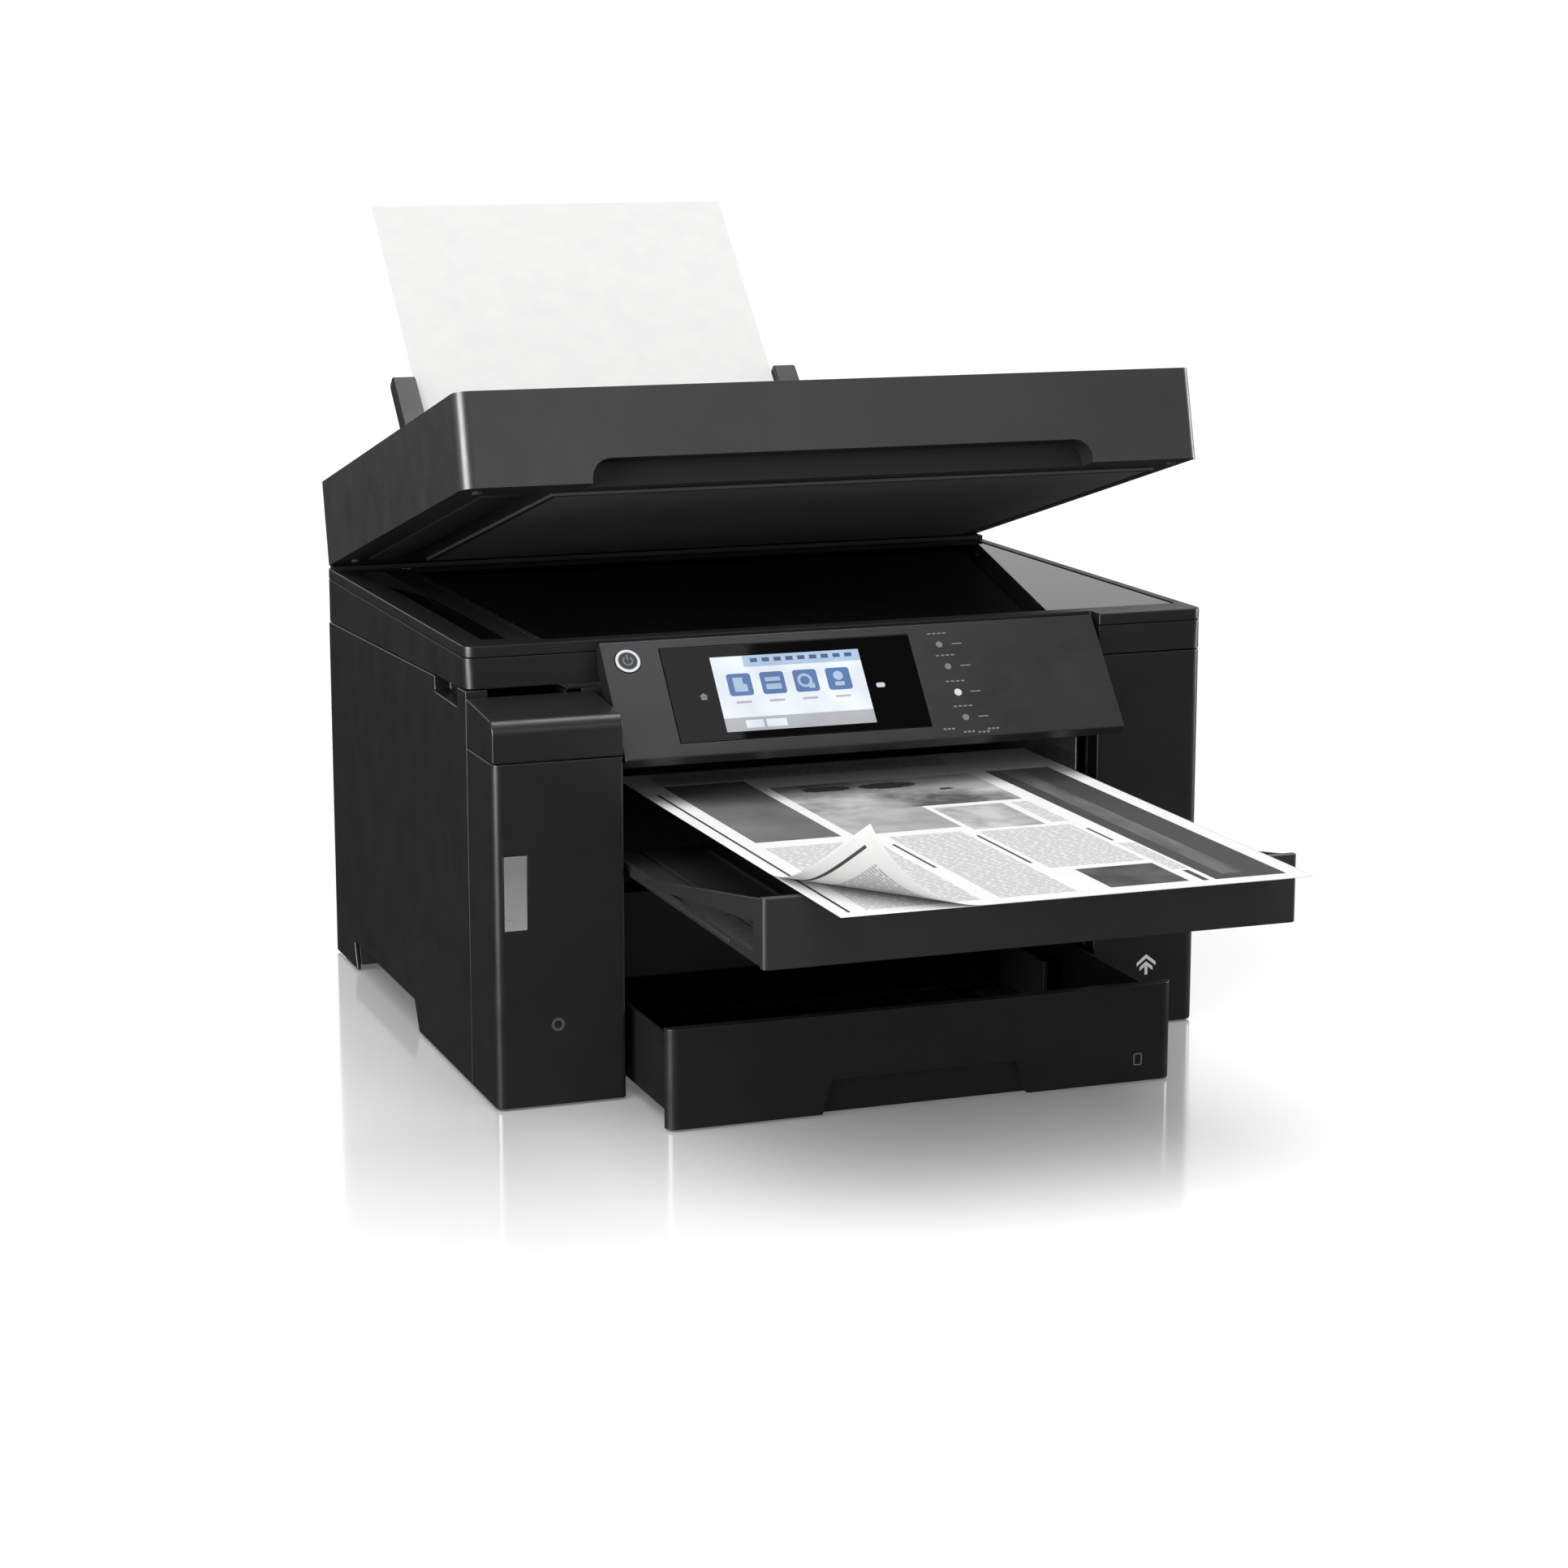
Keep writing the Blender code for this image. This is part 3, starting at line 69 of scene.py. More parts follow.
NODES = frame["nodes"]
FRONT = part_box("tank_housing")[0].y
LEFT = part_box("left_cover")[0].x / MM
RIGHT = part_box("right_cover")[1].x / MM
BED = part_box("scanner_frame")[1].z / MM


def joint_place(name):
    """Where a joint sits in the row frame."""
    return Vector(next(j["pos_m"] for j in frame["joints"] if j["name"] == name))


def space(place, turn=0.0):
    """The matrix from millimetres at a place, turned about x, to the row frame."""
    return Matrix.Translation(place) @ Matrix.Rotation(math.radians(turn), 4, "X") @ Matrix.Scale(MM, 4)


BODY = space(Vector((0.0, FRONT, 0.0)))
PANEL = space(joint_place("panel_tilt"), -PANEL_TILT)
LID = space(joint_place("lid_open"), -LID_REST)
FEED = space(BODY @ Vector(FEED_PLACE), -FEED_LEAN)


def node_box(name):
    """(low corner, high corner) of a CAD node in BODY millimetres."""
    into = BODY.inverted()
    low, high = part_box(name)
    return into @ low, into @ high


# ---------------------------------------- materials
def new_look(name, colour, roughness, metallic=0.0):
    """A material with its node tree and shader."""
    look = bpy.data.materials.new(name)
    look.use_nodes = True
    shader = look.node_tree.nodes["Principled BSDF"]
    shader.inputs["Base Color"].default_value = (*colour, 1.0)
    shader.inputs["Roughness"].default_value = roughness
    shader.inputs["Metallic"].default_value = metallic
    return look, look.node_tree, shader


def add(tree, kind, **values):
    """A shader node with its properties and inputs set; inputs are named with underscores for spaces."""
    node = tree.nodes.new("ShaderNode" + kind)
    for key, value in values.items():
        if hasattr(node, key):
            setattr(node, key, value)
        else:
            node.inputs[key.replace("_", " ")].default_value = value
    return node


def noise(tree, scale, detail=2.0, rough=0.5, source="Object", stretch=None):
    """The grey output of a noise texture."""
    coordinates = add(tree, "TexCoord")
    texture = add(tree, "TexNoise", Scale=scale, Detail=detail, Roughness=rough)
    if stretch:
        mapping = add(tree, "Mapping", Scale=stretch)
        tree.links.new(coordinates.outputs[source], mapping.inputs["Vector"])
        tree.links.new(mapping.outputs["Vector"], texture.inputs["Vector"])
    else:
        tree.links.new(coordinates.outputs[source], texture.inputs["Vector"])
    return texture.outputs["Fac"]


def calc(tree, operation, *terms):
    """The result of one Math node; each term is a number or another node's output."""
    node = add(tree, "Math", operation=operation)
    for socket, term in zip(node.inputs, terms):
        if isinstance(term, (int, float)):
            socket.default_value = term
        else:
            tree.links.new(term, socket)
    return node.outputs[0]


def split_place(tree, source):
    """The X, Y and Z outputs of a texture coordinate."""
    split = add(tree, "SeparateXYZ")
    tree.links.new(add(tree, "TexCoord").outputs[source], split.inputs["Vector"])
    return split.outputs


def remap(tree, value, low=0.0, high=1.0, from_low=0.3, from_high=0.7):
    """A value carried from one range to another; a noise mostly lies between 0.3 and 0.7."""
    node = add(tree, "MapRange", From_Min=from_low, From_Max=from_high, To_Min=low, To_Max=high)
    tree.links.new(value, node.inputs["Value"])
    return node.outputs["Result"]


def tint(tree, shader, factor, dark, light):
    """Base colour between two colours by a factor."""
    mix = add(tree, "Mix", data_type="RGBA")
    mix.inputs[6].default_value = (*dark, 1.0)
    mix.inputs[7].default_value = (*light, 1.0)
    tree.links.new(factor, mix.inputs[0])
    tree.links.new(mix.outputs[2], shader.inputs["Base Color"])


def relief(tree, shader, height, strength, distance):
    """A bump from a height, as deep as the distance in metres."""
    bump = add(tree, "Bump", Strength=strength, Distance=distance)
    tree.links.new(height, bump.inputs["Height"])
    tree.links.new(bump.outputs["Normal"], shader.inputs["Normal"])


def scaled(colour, share):
    """A colour made lighter or darker by a share, up to white."""
    return tuple(min(1.0, c * share) for c in colour)


PLASTIC_TONE = 0.12  # share by which moulded plastic strays from its colour


def plastic(name, level, roughness, grain=1500.0, depth=0.00004, warm=1.0, shine=0.3):
    """Moulded plastic: spark-eroded grain, slow changes of tone, and patches of finer and coarser gloss."""
    colour = (level * warm, level, level * (2.0 - warm) * 1.03)
    look, tree, shader = new_look(name, colour, roughness)
    factor = remap(tree, noise(tree, 9.0, 4.0, 0.6))
    tint(tree, shader, factor, scaled(colour, 1 - PLASTIC_TONE), scaled(colour, 1 + PLASTIC_TONE))
    relief(tree, shader, noise(tree, grain, 2.0, 0.6), 0.35, depth)
    rough = remap(tree, noise(tree, 40.0, 5.0, 0.65), roughness - 0.035, roughness + 0.045)
    tree.links.new(rough, shader.inputs["Roughness"])
    shader.inputs["Specular IOR Level"].default_value = shine
    return look


def gloss(name, level, roughness, coat, shine=0.5):
    """Polished black: faint dust and finger marks in the gloss."""
    colour = (level, level, level * 1.08)
    look, tree, shader = new_look(name, colour, roughness)
    rough = remap(tree, noise(tree, 22.0, 6.0, 0.7), roughness, roughness + 0.09, 0.45, 0.8)
    tree.links.new(rough, shader.inputs["Roughness"])
    dust = remap(tree, noise(tree, 900.0, 1.0, 0.5), 0.0, 1.0, 0.72, 0.9)
    tint(tree, shader, dust, colour, (level * 4,) * 3)
    shader.inputs["Coat Weight"].default_value = coat
    shader.inputs["Coat Roughness"].default_value = 0.03
    shader.inputs["Specular IOR Level"].default_value = shine
    return look


def rubber(name, level, roughness=0.82):
    """Matt rubber with a fine crumbly surface."""
    look, tree, shader = new_look(name, (level,) * 3, roughness)
    crumbs = noise(tree, 700.0, 3.0, 0.7)
    relief(tree, shader, crumbs, 0.5, 0.0001)
    tint(tree, shader, remap(tree, crumbs), (level * 0.7,) * 3, (level * 1.5,) * 3)
    return look


STREAKS = (400.0, 6.0, 6.0)  # noise scale across and along the streaks of worked metal


def metal(name, colour, roughness):
    """Rolled sheet or turned metal: fine streaks along one way, and clouds of zinc bloom."""
    look, tree, shader = new_look(name, colour, roughness, 1.0)
    streak = noise(tree, 1.0, 3.0, 0.6, stretch=STREAKS)
    rough = remap(tree, streak, roughness - 0.08, roughness + 0.1)
    tree.links.new(rough, shader.inputs["Roughness"])
    factor = remap(tree, noise(tree, 60.0, 5.0, 0.7))
    tint(tree, shader, factor, scaled(colour, 0.8), scaled(colour, 1.12))
    relief(tree, shader, streak, 0.15, 0.00002)
    return look


def paper(name, level):
    """Office paper: fibres and faint cockle."""
    look, tree, shader = new_look(name, (level, level, level * 0.99), 0.9)
    relief(tree, shader, noise(tree, 900.0, 6.0, 0.75), 0.25, 0.00003)
    factor = remap(tree, noise(tree, 60.0, 3.0, 0.5))
    tint(tree, shader, factor, (level * 0.97,) * 3, (level * 1.02, level * 1.02, level))
    shader.inputs["Sheen Weight"].default_value = 0.05
    return look


def glow(name, colour, strength):
    """A lit marking or display area, a little uneven from its lamp behind."""
    look, tree, shader = new_look(name, (0.02, 0.02, 0.02), 0.35)
    shader.inputs["Emission Color"].default_value = (*colour, 1.0)
    level = remap(tree, noise(tree, 35.0, 2.0, 0.5), strength * 0.85, strength * 1.1)
    tree.links.new(level, shader.inputs["Emission Strength"])
    return look


def print_ink(name, level, contrast, scale, stretch=None):
    """Greyscale ink on paper: soft picture-like clouds between two greys."""
    look, tree, shader = new_look(name, (level,) * 3, 0.8)
    cloud = noise(tree, scale, 5.0, 0.55, source="UV", stretch=stretch)
    factor = remap(tree, cloud, 0.0, 1.0, 0.38, 0.62)
    dark, light = max(0.004, level - contrast), min(0.9, level + contrast)
    tint(tree, shader, factor, (dark,) * 3, (light,) * 3)
    return look


WORD_RATE = 330.0  # noise steps per metre along a greeked line


def print_lines(name, pitch, dark, light):
    """Columns of illegible greeked lines: rows of grey dashes with ragged word gaps. UV is in metres."""
    look, tree, shader = new_look(name, (light,) * 3, 0.85)
    place = split_place(tree, "UV")
    rows = calc(tree, "DIVIDE", place["Y"], pitch)
    inked = calc(tree, "LESS_THAN", calc(tree, "FRACT", rows), 0.5)
    joined = add(tree, "CombineXYZ")
    tree.links.new(calc(tree, "MULTIPLY", place["X"], WORD_RATE), joined.inputs["X"])
    tree.links.new(calc(tree, "FLOOR", rows), joined.inputs["Y"])
    words = add(tree, "TexNoise", Scale=1.0, Detail=0.0)
    tree.links.new(joined.outputs["Vector"], words.inputs["Vector"])
    word = calc(tree, "GREATER_THAN", words.outputs["Fac"], 0.4)
    tint(tree, shader, calc(tree, "MULTIPLY", inked, word), (light,) * 3, (dark,) * 3)
    return look


INKS = {
    "black": (0.012, 0.012, 0.013),
    "cyan": (0.0, 0.22, 0.5),
    "magenta": (0.5, 0.01, 0.14),
    "yellow": (0.75, 0.5, 0.01),
}


def make_looks():
    """Every material by its short name; a level is how light its grey is."""
    looks = {
        "shell": plastic("shell_plastic", 0.0125, 0.34),
        # a lighter copy of the shell plastic: the extra lightness is painted light for the cover's lit front
        "lid": plastic("lid_plastic", 0.021, 0.38, shine=0.4),
        # a less reflective copy of the shell plastic for the scanner frame's top faces: painted shade that
        # dims their reflection
        "rim": plastic("rim_top_painted_shade", 0.0125, 0.4, shine=0.08),
        "panel": plastic("panel_plastic", 0.018, 0.32, grain=2200.0, depth=0.00001, shine=0.35),
        "tray": plastic("tray_plastic", 0.023, 0.4),
        "frame": plastic("frame_plastic", 0.012, 0.55, grain=900.0),
        # dark plastic of the inner parts, also used as painted shade in the feeder slot, rear louvres, screw
        # recesses and socket openings
        "inner": plastic("inner_plastic_and_painted_shade", 0.006, 0.6, grain=900.0),
        "dark": plastic("dark_plastic", 0.006, 0.4),
        "light_grey": plastic("light_grey_plastic", 0.35, 0.45),
        "mat": plastic("mat_foam", 0.055, 0.75, grain=500.0, depth=0.0001),
        "rubber": rubber("black_rubber", 0.012),
        "roller": rubber("roller_rubber", 0.035, 0.7),
        "gear": plastic("gear_plastic", 0.6, 0.45, warm=1.04),
        "glass": gloss("screen_glass", 0.002, 0.03, coat=0.1, shine=0.2),
        "bed_glass": gloss("bed_glass", 0.002, 0.015, coat=0.0, shine=0.03),
        "steel": metal("zinc_steel", (0.5, 0.51, 0.52), 0.34),
        "bright": metal("nickel", (0.66, 0.65, 0.63), 0.22),
        "gold": metal("gold_contacts", (0.8, 0.6, 0.25), 0.3),
        "board": gloss("solder_mask", 0.02, 0.25, coat=0.2),
        "paper": paper("plain_paper", 0.63),
        "page_paper": paper("page_paper", 0.7),
        "white_mark": plastic("printed_mark", 0.55, 0.5, depth=0.00001),
        "grey_mark": plastic("grey_mark", 0.16, 0.5, depth=0.00001),
        "dim_mark": plastic("dim_mark", 0.06, 0.45, depth=0.00001),
        "lamp": glow("lit_mark", (0.9, 0.95, 1.0), 0.75),
        "dim_lamp": glow("dim_lamp", (0.75, 0.8, 0.85), 0.22),
        "screen_white": glow("screen_white", (0.86, 0.92, 1.0), 0.92),
        "screen_sky": glow("screen_sky", (0.5, 0.68, 0.95), 0.75),
        "screen_blue": glow("screen_blue", (0.06, 0.19, 0.5), 0.75),
        "screen_navy": glow("screen_navy", (0.03, 0.09, 0.3), 0.6),
        "screen_grey": glow("screen_grey", (0.55, 0.58, 0.62), 0.75),
    }
    for name, colour in INKS.items():
        looks[name] = coloured_cap(name, colour)
        looks[f"ink_{name}"] = tank_look(name, colour)
    looks["window"] = window_look()
    return looks


def coloured_cap(name, colour):
    """The moulded cap of an ink tank in the ink's colour."""
    look, tree, shader = new_look(f"cap_{name}", colour, 0.35)
    factor = remap(tree, noise(tree, 120.0, 3.0, 0.6))
    tint(tree, shader, factor, scaled(colour, 0.88), scaled(colour, 1.08))
    relief(tree, shader, noise(tree, 1800.0, 2.0, 0.5), 0.25, 0.00003)
    return look


INK_LEVEL = (0.162, 0.166)  # heights between which a tank's wall goes from wet to dry, in metres
WINDOW_FADE = (0.117, 0.166)  # heights between which the window darkens


def tank_look(name, colour):
    """Milky tank wall over ink up to a level, with clear wall above it."""
    look, tree, shader = new_look(f"tank_{name}", colour, 0.22)
    wet = remap(tree, split_place(tree, "Object")["Z"], 1.0, 0.0, *INK_LEVEL)
    inked = tuple(c * 0.8 + 0.02 for c in colour)
    tint(tree, shader, wet, (0.5, 0.5, 0.49), inked)
    shader.inputs["Subsurface Weight"].default_value = 0.15
    shader.inputs["Subsurface Radius"].default_value = (0.004, 0.004, 0.004)
    relief(tree, shader, noise(tree, 200.0, 3.0, 0.6), 0.15, 0.00005)
    return look


def window_look():
    """The smoky window in the tower, lighter at its lower end, with faint upright draw lines."""
    look, tree, shader = new_look("window_plastic", (0.25, 0.25, 0.255), 0.28)
    rise = remap(tree, split_place(tree, "Object")["Z"], 0.0, 1.0, *WINDOW_FADE)
    streak = noise(tree, 1.0, 3.0, 0.6, stretch=(500.0, 500.0, 12.0))
    factor = calc(tree, "MULTIPLY_ADD", streak, 0.35, rise)
    tint(tree, shader, factor, (0.27, 0.27, 0.275), (0.19, 0.19, 0.195))
    shader.inputs["Coat Weight"].default_value = 0.5
    shader.inputs["Coat Roughness"].default_value = 0.08
    return look


# ---------------------------------------- shapes, in millimetres
# For each axis an outline is swept along: the two axes of the outline, and the axis itself.
ACROSS = {"x": (1, 2, 0), "y": (0, 2, 1), "z": (0, 1, 2)}
SHARP = math.radians(32)  # edges that turn more than this are rounded or kept crisp


def prism(outline, axis, low, high, mesh=None):
    """An outline in the plane across an axis, swept along that axis from low to high."""
    first, second, along = ACROSS[axis]
    mesh = mesh or bmesh.new()
    ends = []
    for level in (low, high):
        corners = []
        for point in outline:
            place = [0.0, 0.0, 0.0]
            place[first], place[second], place[along] = point[0], point[1], level
            corners.append(mesh.verts.new(place))
        ends.append(corners)
    faces = [mesh.faces.new(corners) for corners in ends]
    count = len(outline)
    for i in range(count):
        j = (i + 1) % count
        faces.append(mesh.faces.new((ends[0][i], ends[0][j], ends[1][j], ends[1][i])))
    bmesh.ops.recalc_face_normals(mesh, faces=faces)
    return mesh


def block(x0, x1, y0, y1, z0, z1, mesh=None):
    """A box by its six sides."""
    return prism([(x0, y0), (x1, y0), (x1, y1), (x0, y1)], "z", z0, z1, mesh)


def on_circle(centre, radius, angle):
    """The point of a circle at an angle."""
    return centre[0] + radius * math.cos(angle), centre[1] + radius * math.sin(angle)


def circle(centre, radius, sides=32, start=0.0, end=2 * math.pi):
    """Points of a circle, or of an arc of it."""
    whole = end - start > 2 * math.pi - 1e-6
    count = sides if whole else sides - 1
    return [on_circle(centre, radius, start + (end - start) * i / count) for i in range(sides)]


def rounded_rect(x0, x1, y0, y1, radius, steps=5):
    """The outline of an oblong with round corners."""
    outline = []
    for centre, start in (
        ((x1 - radius, y1 - radius), 0.0),
        ((x0 + radius, y1 - radius), 90.0),
        ((x0 + radius, y0 + radius), 180.0),
        ((x1 - radius, y0 + radius), 270.0),
    ):
        low = math.radians(start)
        outline += circle(centre, radius, steps, low, low + math.pi / 2)
    return outline


def ring(centre, outer, inner, low, high, sides=40, start=0.0, end=2 * math.pi, mesh=None):
    """A flat ring, or an arc of one, across y, made of short prisms."""
    mesh = mesh or bmesh.new()
    for i in range(sides):
        a = start + (end - start) * i / sides
        b = start + (end - start) * (i + 1) / sides
        corners = ((outer, a), (outer, b), (inner, b), (inner, a))
        prism([on_circle(centre, radius, angle) for radius, angle in corners], "y", low, high, mesh)
    return mesh


def new_object(name, data):
    """An object in the scene with the given mesh, lamp or camera."""
    obj = bpy.data.objects.new(name, data)
    bpy.context.scene.collection.objects.link(obj)
    return obj


def place_mesh(name, mesh, look, where, body, bevel=0.0):
    """A new piece from a mesh in millimetres: placed, riding on a body, with rounded edges if asked."""
    data = bpy.data.meshes.new(name)
    bmesh.ops.transform(mesh, matrix=where, verts=mesh.verts)
    mesh.to_mesh(data)
    mesh.free()
    obj = new_object(name, data)
    for one in look if isinstance(look, (list, tuple)) else [look]:
        obj.data.materials.append(one)
    obj.data.shade_smooth()
    if bevel:
        round_edges(obj, bevel, 2)
    else:
        obj.data.set_sharp_from_angle(angle=SHARP)
    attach(obj, body)
    return obj


def round_edges(obj, width, segments):
    """Rounds the sharp edges of an object, width in millimetres."""
    bevel = obj.modifiers.new("rounding", "BEVEL")
    bevel.width = width * MM
    bevel.segments = segments
    bevel.limit_method = "ANGLE"
    bevel.angle_limit = SHARP
    bevel.use_clamp_overlap = True
    bevel.miter_outer = "MITER_ARC"
    bevel.harden_normals = False


# ---------------------------------------- the CAD nodes
# Nodes with openings through a broad face, which is cut into triangles before its edges are rounded.
PIERCED = ("front_frame", "output_tray", "platen", "power_supply", "scanner_base")


def dress(name, look, bevel):
    """Gives a CAD node its material and rounds its edges, once its split corners are joined."""
    obj = NODES[name]
    obj.data.materials.clear()
    obj.data.materials.append(look)
    obj.data.shade_smooth()
    weld = obj.modifiers.new("join", "WELD")
    weld.merge_threshold = 0.00001
    flat = obj.modifiers.new("flat", "DECIMATE")
    flat.decimate_type = "DISSOLVE"
    flat.angle_limit = math.radians(0.6)
    if name in PIERCED:
        obj.modifiers.new("parts", "TRIANGULATE")
    if bevel:
        round_edges(obj, bevel, 3)
        even = obj.modifiers.new("even", "WEIGHTED_NORMAL")
        even.mode = "FACE_AREA"
        even.weight = 100
    else:
        split = obj.modifiers.new("split", "EDGE_SPLIT")
        split.split_angle = SHARP


def paint(name, look, inside):
    """Gives another material to the faces of a CAD node whose middles pass a test, in BODY millimetres."""
    obj = NODES[name]
    obj.data.materials.append(look)
    into = BODY.inverted() @ obj.matrix_world
    for face in obj.data.polygons:
        if inside(into @ face.center, (into.to_3x3() @ face.normal).normalized()):
            face.material_index = len(obj.data.materials) - 1


DRESSING = (  # look, rounding in millimetres, nodes
    ("shell", 0.9, "left_cover right_cover rear_cover rear_feed_housing tank_housing tank_lid"),
    ("shell", 0.9, "scanner_base scanner_frame lower_cassette upper_cassette"),
    ("shell", 0.9, "rear_support rear_support_extension"),
    ("lid", 1.0, "document_cover adf_cover adf_tray"),
    ("panel", 0.7, "control_panel power_button"),
    ("tray", 0.8, "output_tray"),
    ("frame", 0.5, "front_frame maintenance_box print_carriage capping_station"),
    ("frame", 0.5, "cassette_guide_left cassette_guide_right drive_pulley idler_pulley"),
    ("inner", 0.4, "base_pan scan_carriage platen"),
    ("dark", 0.8, "power_inlet rear_guide_left rear_guide_right"),
    ("mat", 0.8, "document_mat"),
    ("rubber", 0.8, "foot_front_left foot_front_right foot_rear_left foot_rear_right"),
    ("roller", 0.0, "feed_roller exit_roller adf_roller carriage_belt"),
    ("gear", 0.0, "idler_gear"),
    ("glass", 0.35, "touch_screen"),
    ("bed_glass", 0.4, "scanner_glass"),
    ("window", 0.4, "tank_window"),
    ("steel", 0.3, "engine_frame guide_rail carriage_motor power_supply"),
    ("board", 0.0, "main_board"),
    ("paper", 0.0, "rear_sheet"),
)


def dress_nodes(looks):
    """Every CAD node that is shown gets its look."""
    for look, bevel, names in DRESSING:
        for name in names.split():
            dress(name, looks[look], bevel)
    # the frame's top faces take the less reflective copy of the shell plastic: painted shade on their
    # reflection
    paint("scanner_frame", looks["rim"], lambda place, facing: facing.z > 0.9)
    for ink in INKS:
        dress(f"ink_tank_{ink}", looks[f"ink_{ink}"], 0.6)
        dress(f"ink_cap_{ink}", looks[ink], 0.6)


# ---------------------------------------- control panel
SCREEN = (-99.0, 4.0, 16.5, 72.0)  # lit area: x from and to, drop below the panel's top edge from and to
FACE = -7.0  # y of the panel's face in PANEL
PANEL_TOP = 5.3  # z of its top edge


def on_panel(x0, x1, drop0, drop1, level, mesh=None):
    """A thin block on the panel's face, level in micrometres proud of it."""
    proud = level * 0.001
    return block(x0, x1, FACE - proud, FACE + 0.4, PANEL_TOP - drop1, PANEL_TOP - drop0, mesh)


def on_glass(name, mesh, look):
    """A lit part of the display, riding on the panel."""
    place_mesh(name, mesh, look, PANEL, "panel")


def make_panel(looks):
    """The lit display with its bars and tiles, a mark at each side of it, and the panel's other marks."""
    x0, x1, d0, d1 = SCREEN
    on_glass("display_ground", on_panel(x0, x1, d0, d1, 40), looks["screen_white"])
    on_glass("display_top_bar", on_panel(x0 + 22, x1, d0, d0 + 8.5, 60), looks["screen_sky"])
    dots = bmesh.new()
    for i in range(9):
        at = x0 + 27 + i * 8.2
        on_panel(at, at + 5.0, d0 + 2.2, d0 + 5.2, 80, dots)
    on_glass("display_status_marks", dots, looks["screen_navy"])
    make_icons(looks, x0, d0)
    low = on_panel(x0, x1, d1 - 10.0, d1, 60)
    on_panel(x0 + 12, x0 + 44, d1 - 8.6, d1 - 1.4, 80, low)
    on_glass("display_low_bar", low, looks["screen_grey"])
    keys = on_panel(x0 + 14, x0 + 26, d1 - 7.8, d1 - 2.2, 100)
    on_panel(x0 + 28, x0 + 42, d1 - 7.8, d1 - 2.2, 100, keys)
    on_glass("display_keys", keys, looks["screen_white"])

    x, z = -109.0, PANEL_TOP - 44.9
    house = prism([(x - 3, z), (x, z + 2.6), (x + 3, z)], "y", FACE - 0.05, FACE + 0.3)
    block(x - 2, x + 2, FACE - 0.05, FACE + 0.3, z - 2.4, z - 0.3, house)
    on_glass("home_mark", house, looks["dim_lamp"])
    x, z = 13.4, PANEL_TOP - 44.5
    lozenge = rounded_rect(x - 3, x + 3, z - 1.7, z + 1.7, 1.2)
    on_glass("help_mark", prism(lozenge, "y", FACE - 0.05, FACE + 0.3), looks["lamp"])
    make_power_mark(looks)
    make_panel_marks(looks)


TILE = 16.5  # side of a display tile
TILE_STEP = 22.8


def make_icons(looks, x0, d0):
    """Four square tiles with plain pictograms: a sheet, two bars, a magnifier, and a disc over a bar."""
    tiles, signs, captions = bmesh.new(), bmesh.new(), bmesh.new()
    lefts = [x0 + 8.0 + i * TILE_STEP for i in range(4)]
    top = d0 + 13.0
    for left in lefts:
        tile = rounded_rect(left, left + TILE, PANEL_TOP - top - TILE, PANEL_TOP - top, 2.0)
        prism(tile, "y", FACE - 0.07, FACE + 0.3, tiles)
        on_panel(left + 3, left + TILE - 3, top + TILE + 4.0, top + TILE + 5.6, 60, captions)
    sheet, bars, glass, disc = lefts
    on_panel(sheet + 4, sheet + 10.5, d0 + 16, d0 + 26.5, 100, signs)
    on_panel(sheet + 9, sheet + 13, d0 + 21, d0 + 26.5, 110, signs)
    on_panel(bars + 3, bars + 13.5, d0 + 17, d0 + 20, 100, signs)
    on_panel(bars + 3, bars + 13.5, d0 + 22, d0 + 26, 100, signs)
    ring((glass + 7.5, PANEL_TOP - d0 - 21), 5.2, 3.2, FACE - 0.1, FACE + 0.3, 24, mesh=signs)
    on_panel(glass + 9.5, glass + 13.5, d0 + 23.5, d0 + 27, 100, signs)
    prism(circle((disc + 8.2, PANEL_TOP - d0 - 19), 3.4, 20), "y", FACE - 0.1, FACE + 0.3, signs)
    on_panel(disc + 5, disc + 11.5, d0 + 23.5, d0 + 26.5, 100, signs)
    on_glass("display_tiles", tiles, looks["screen_blue"])
    on_glass("display_signs", signs, looks["screen_sky"])
    on_glass("display_captions", captions, looks["screen_grey"])


def make_power_mark(looks):
    """A lit ring and a broken ring with a stroke on the power button."""
    low, high = node_box("power_button")
    middle = PANEL.inverted() @ BODY @ ((low + high) / 2)
    x, z = middle.x, middle.z
    mark = ring((x, z), 8.3, 6.4, FACE - 0.68, FACE - 0.3)
    place_mesh("power_ring", mark, looks["lamp"], PANEL, "power_button", 0.1)
    sign = ring((x, z), 3.4, 2.6, FACE - 0.66, FACE - 0.3, 24, math.radians(125), math.radians(415))
    block(x - 0.4, x + 0.4, FACE - 0.66, FACE - 0.3, z + 0.6, z + 4.4, sign)
    place_mesh("power_sign", sign, looks["dim_lamp"], PANEL, "power_button")


STATUS_LAMPS = ((61.9, 16.9), (63.9, 33.8), (65.9, 53.7), (66.5, 72.7))  # x and drop
LIT_LAMP = 2
LOW_MARKS = ((52.7, 80.6), (66.2, 83.6), (76.5, 84.4), (83.7, 82.4))


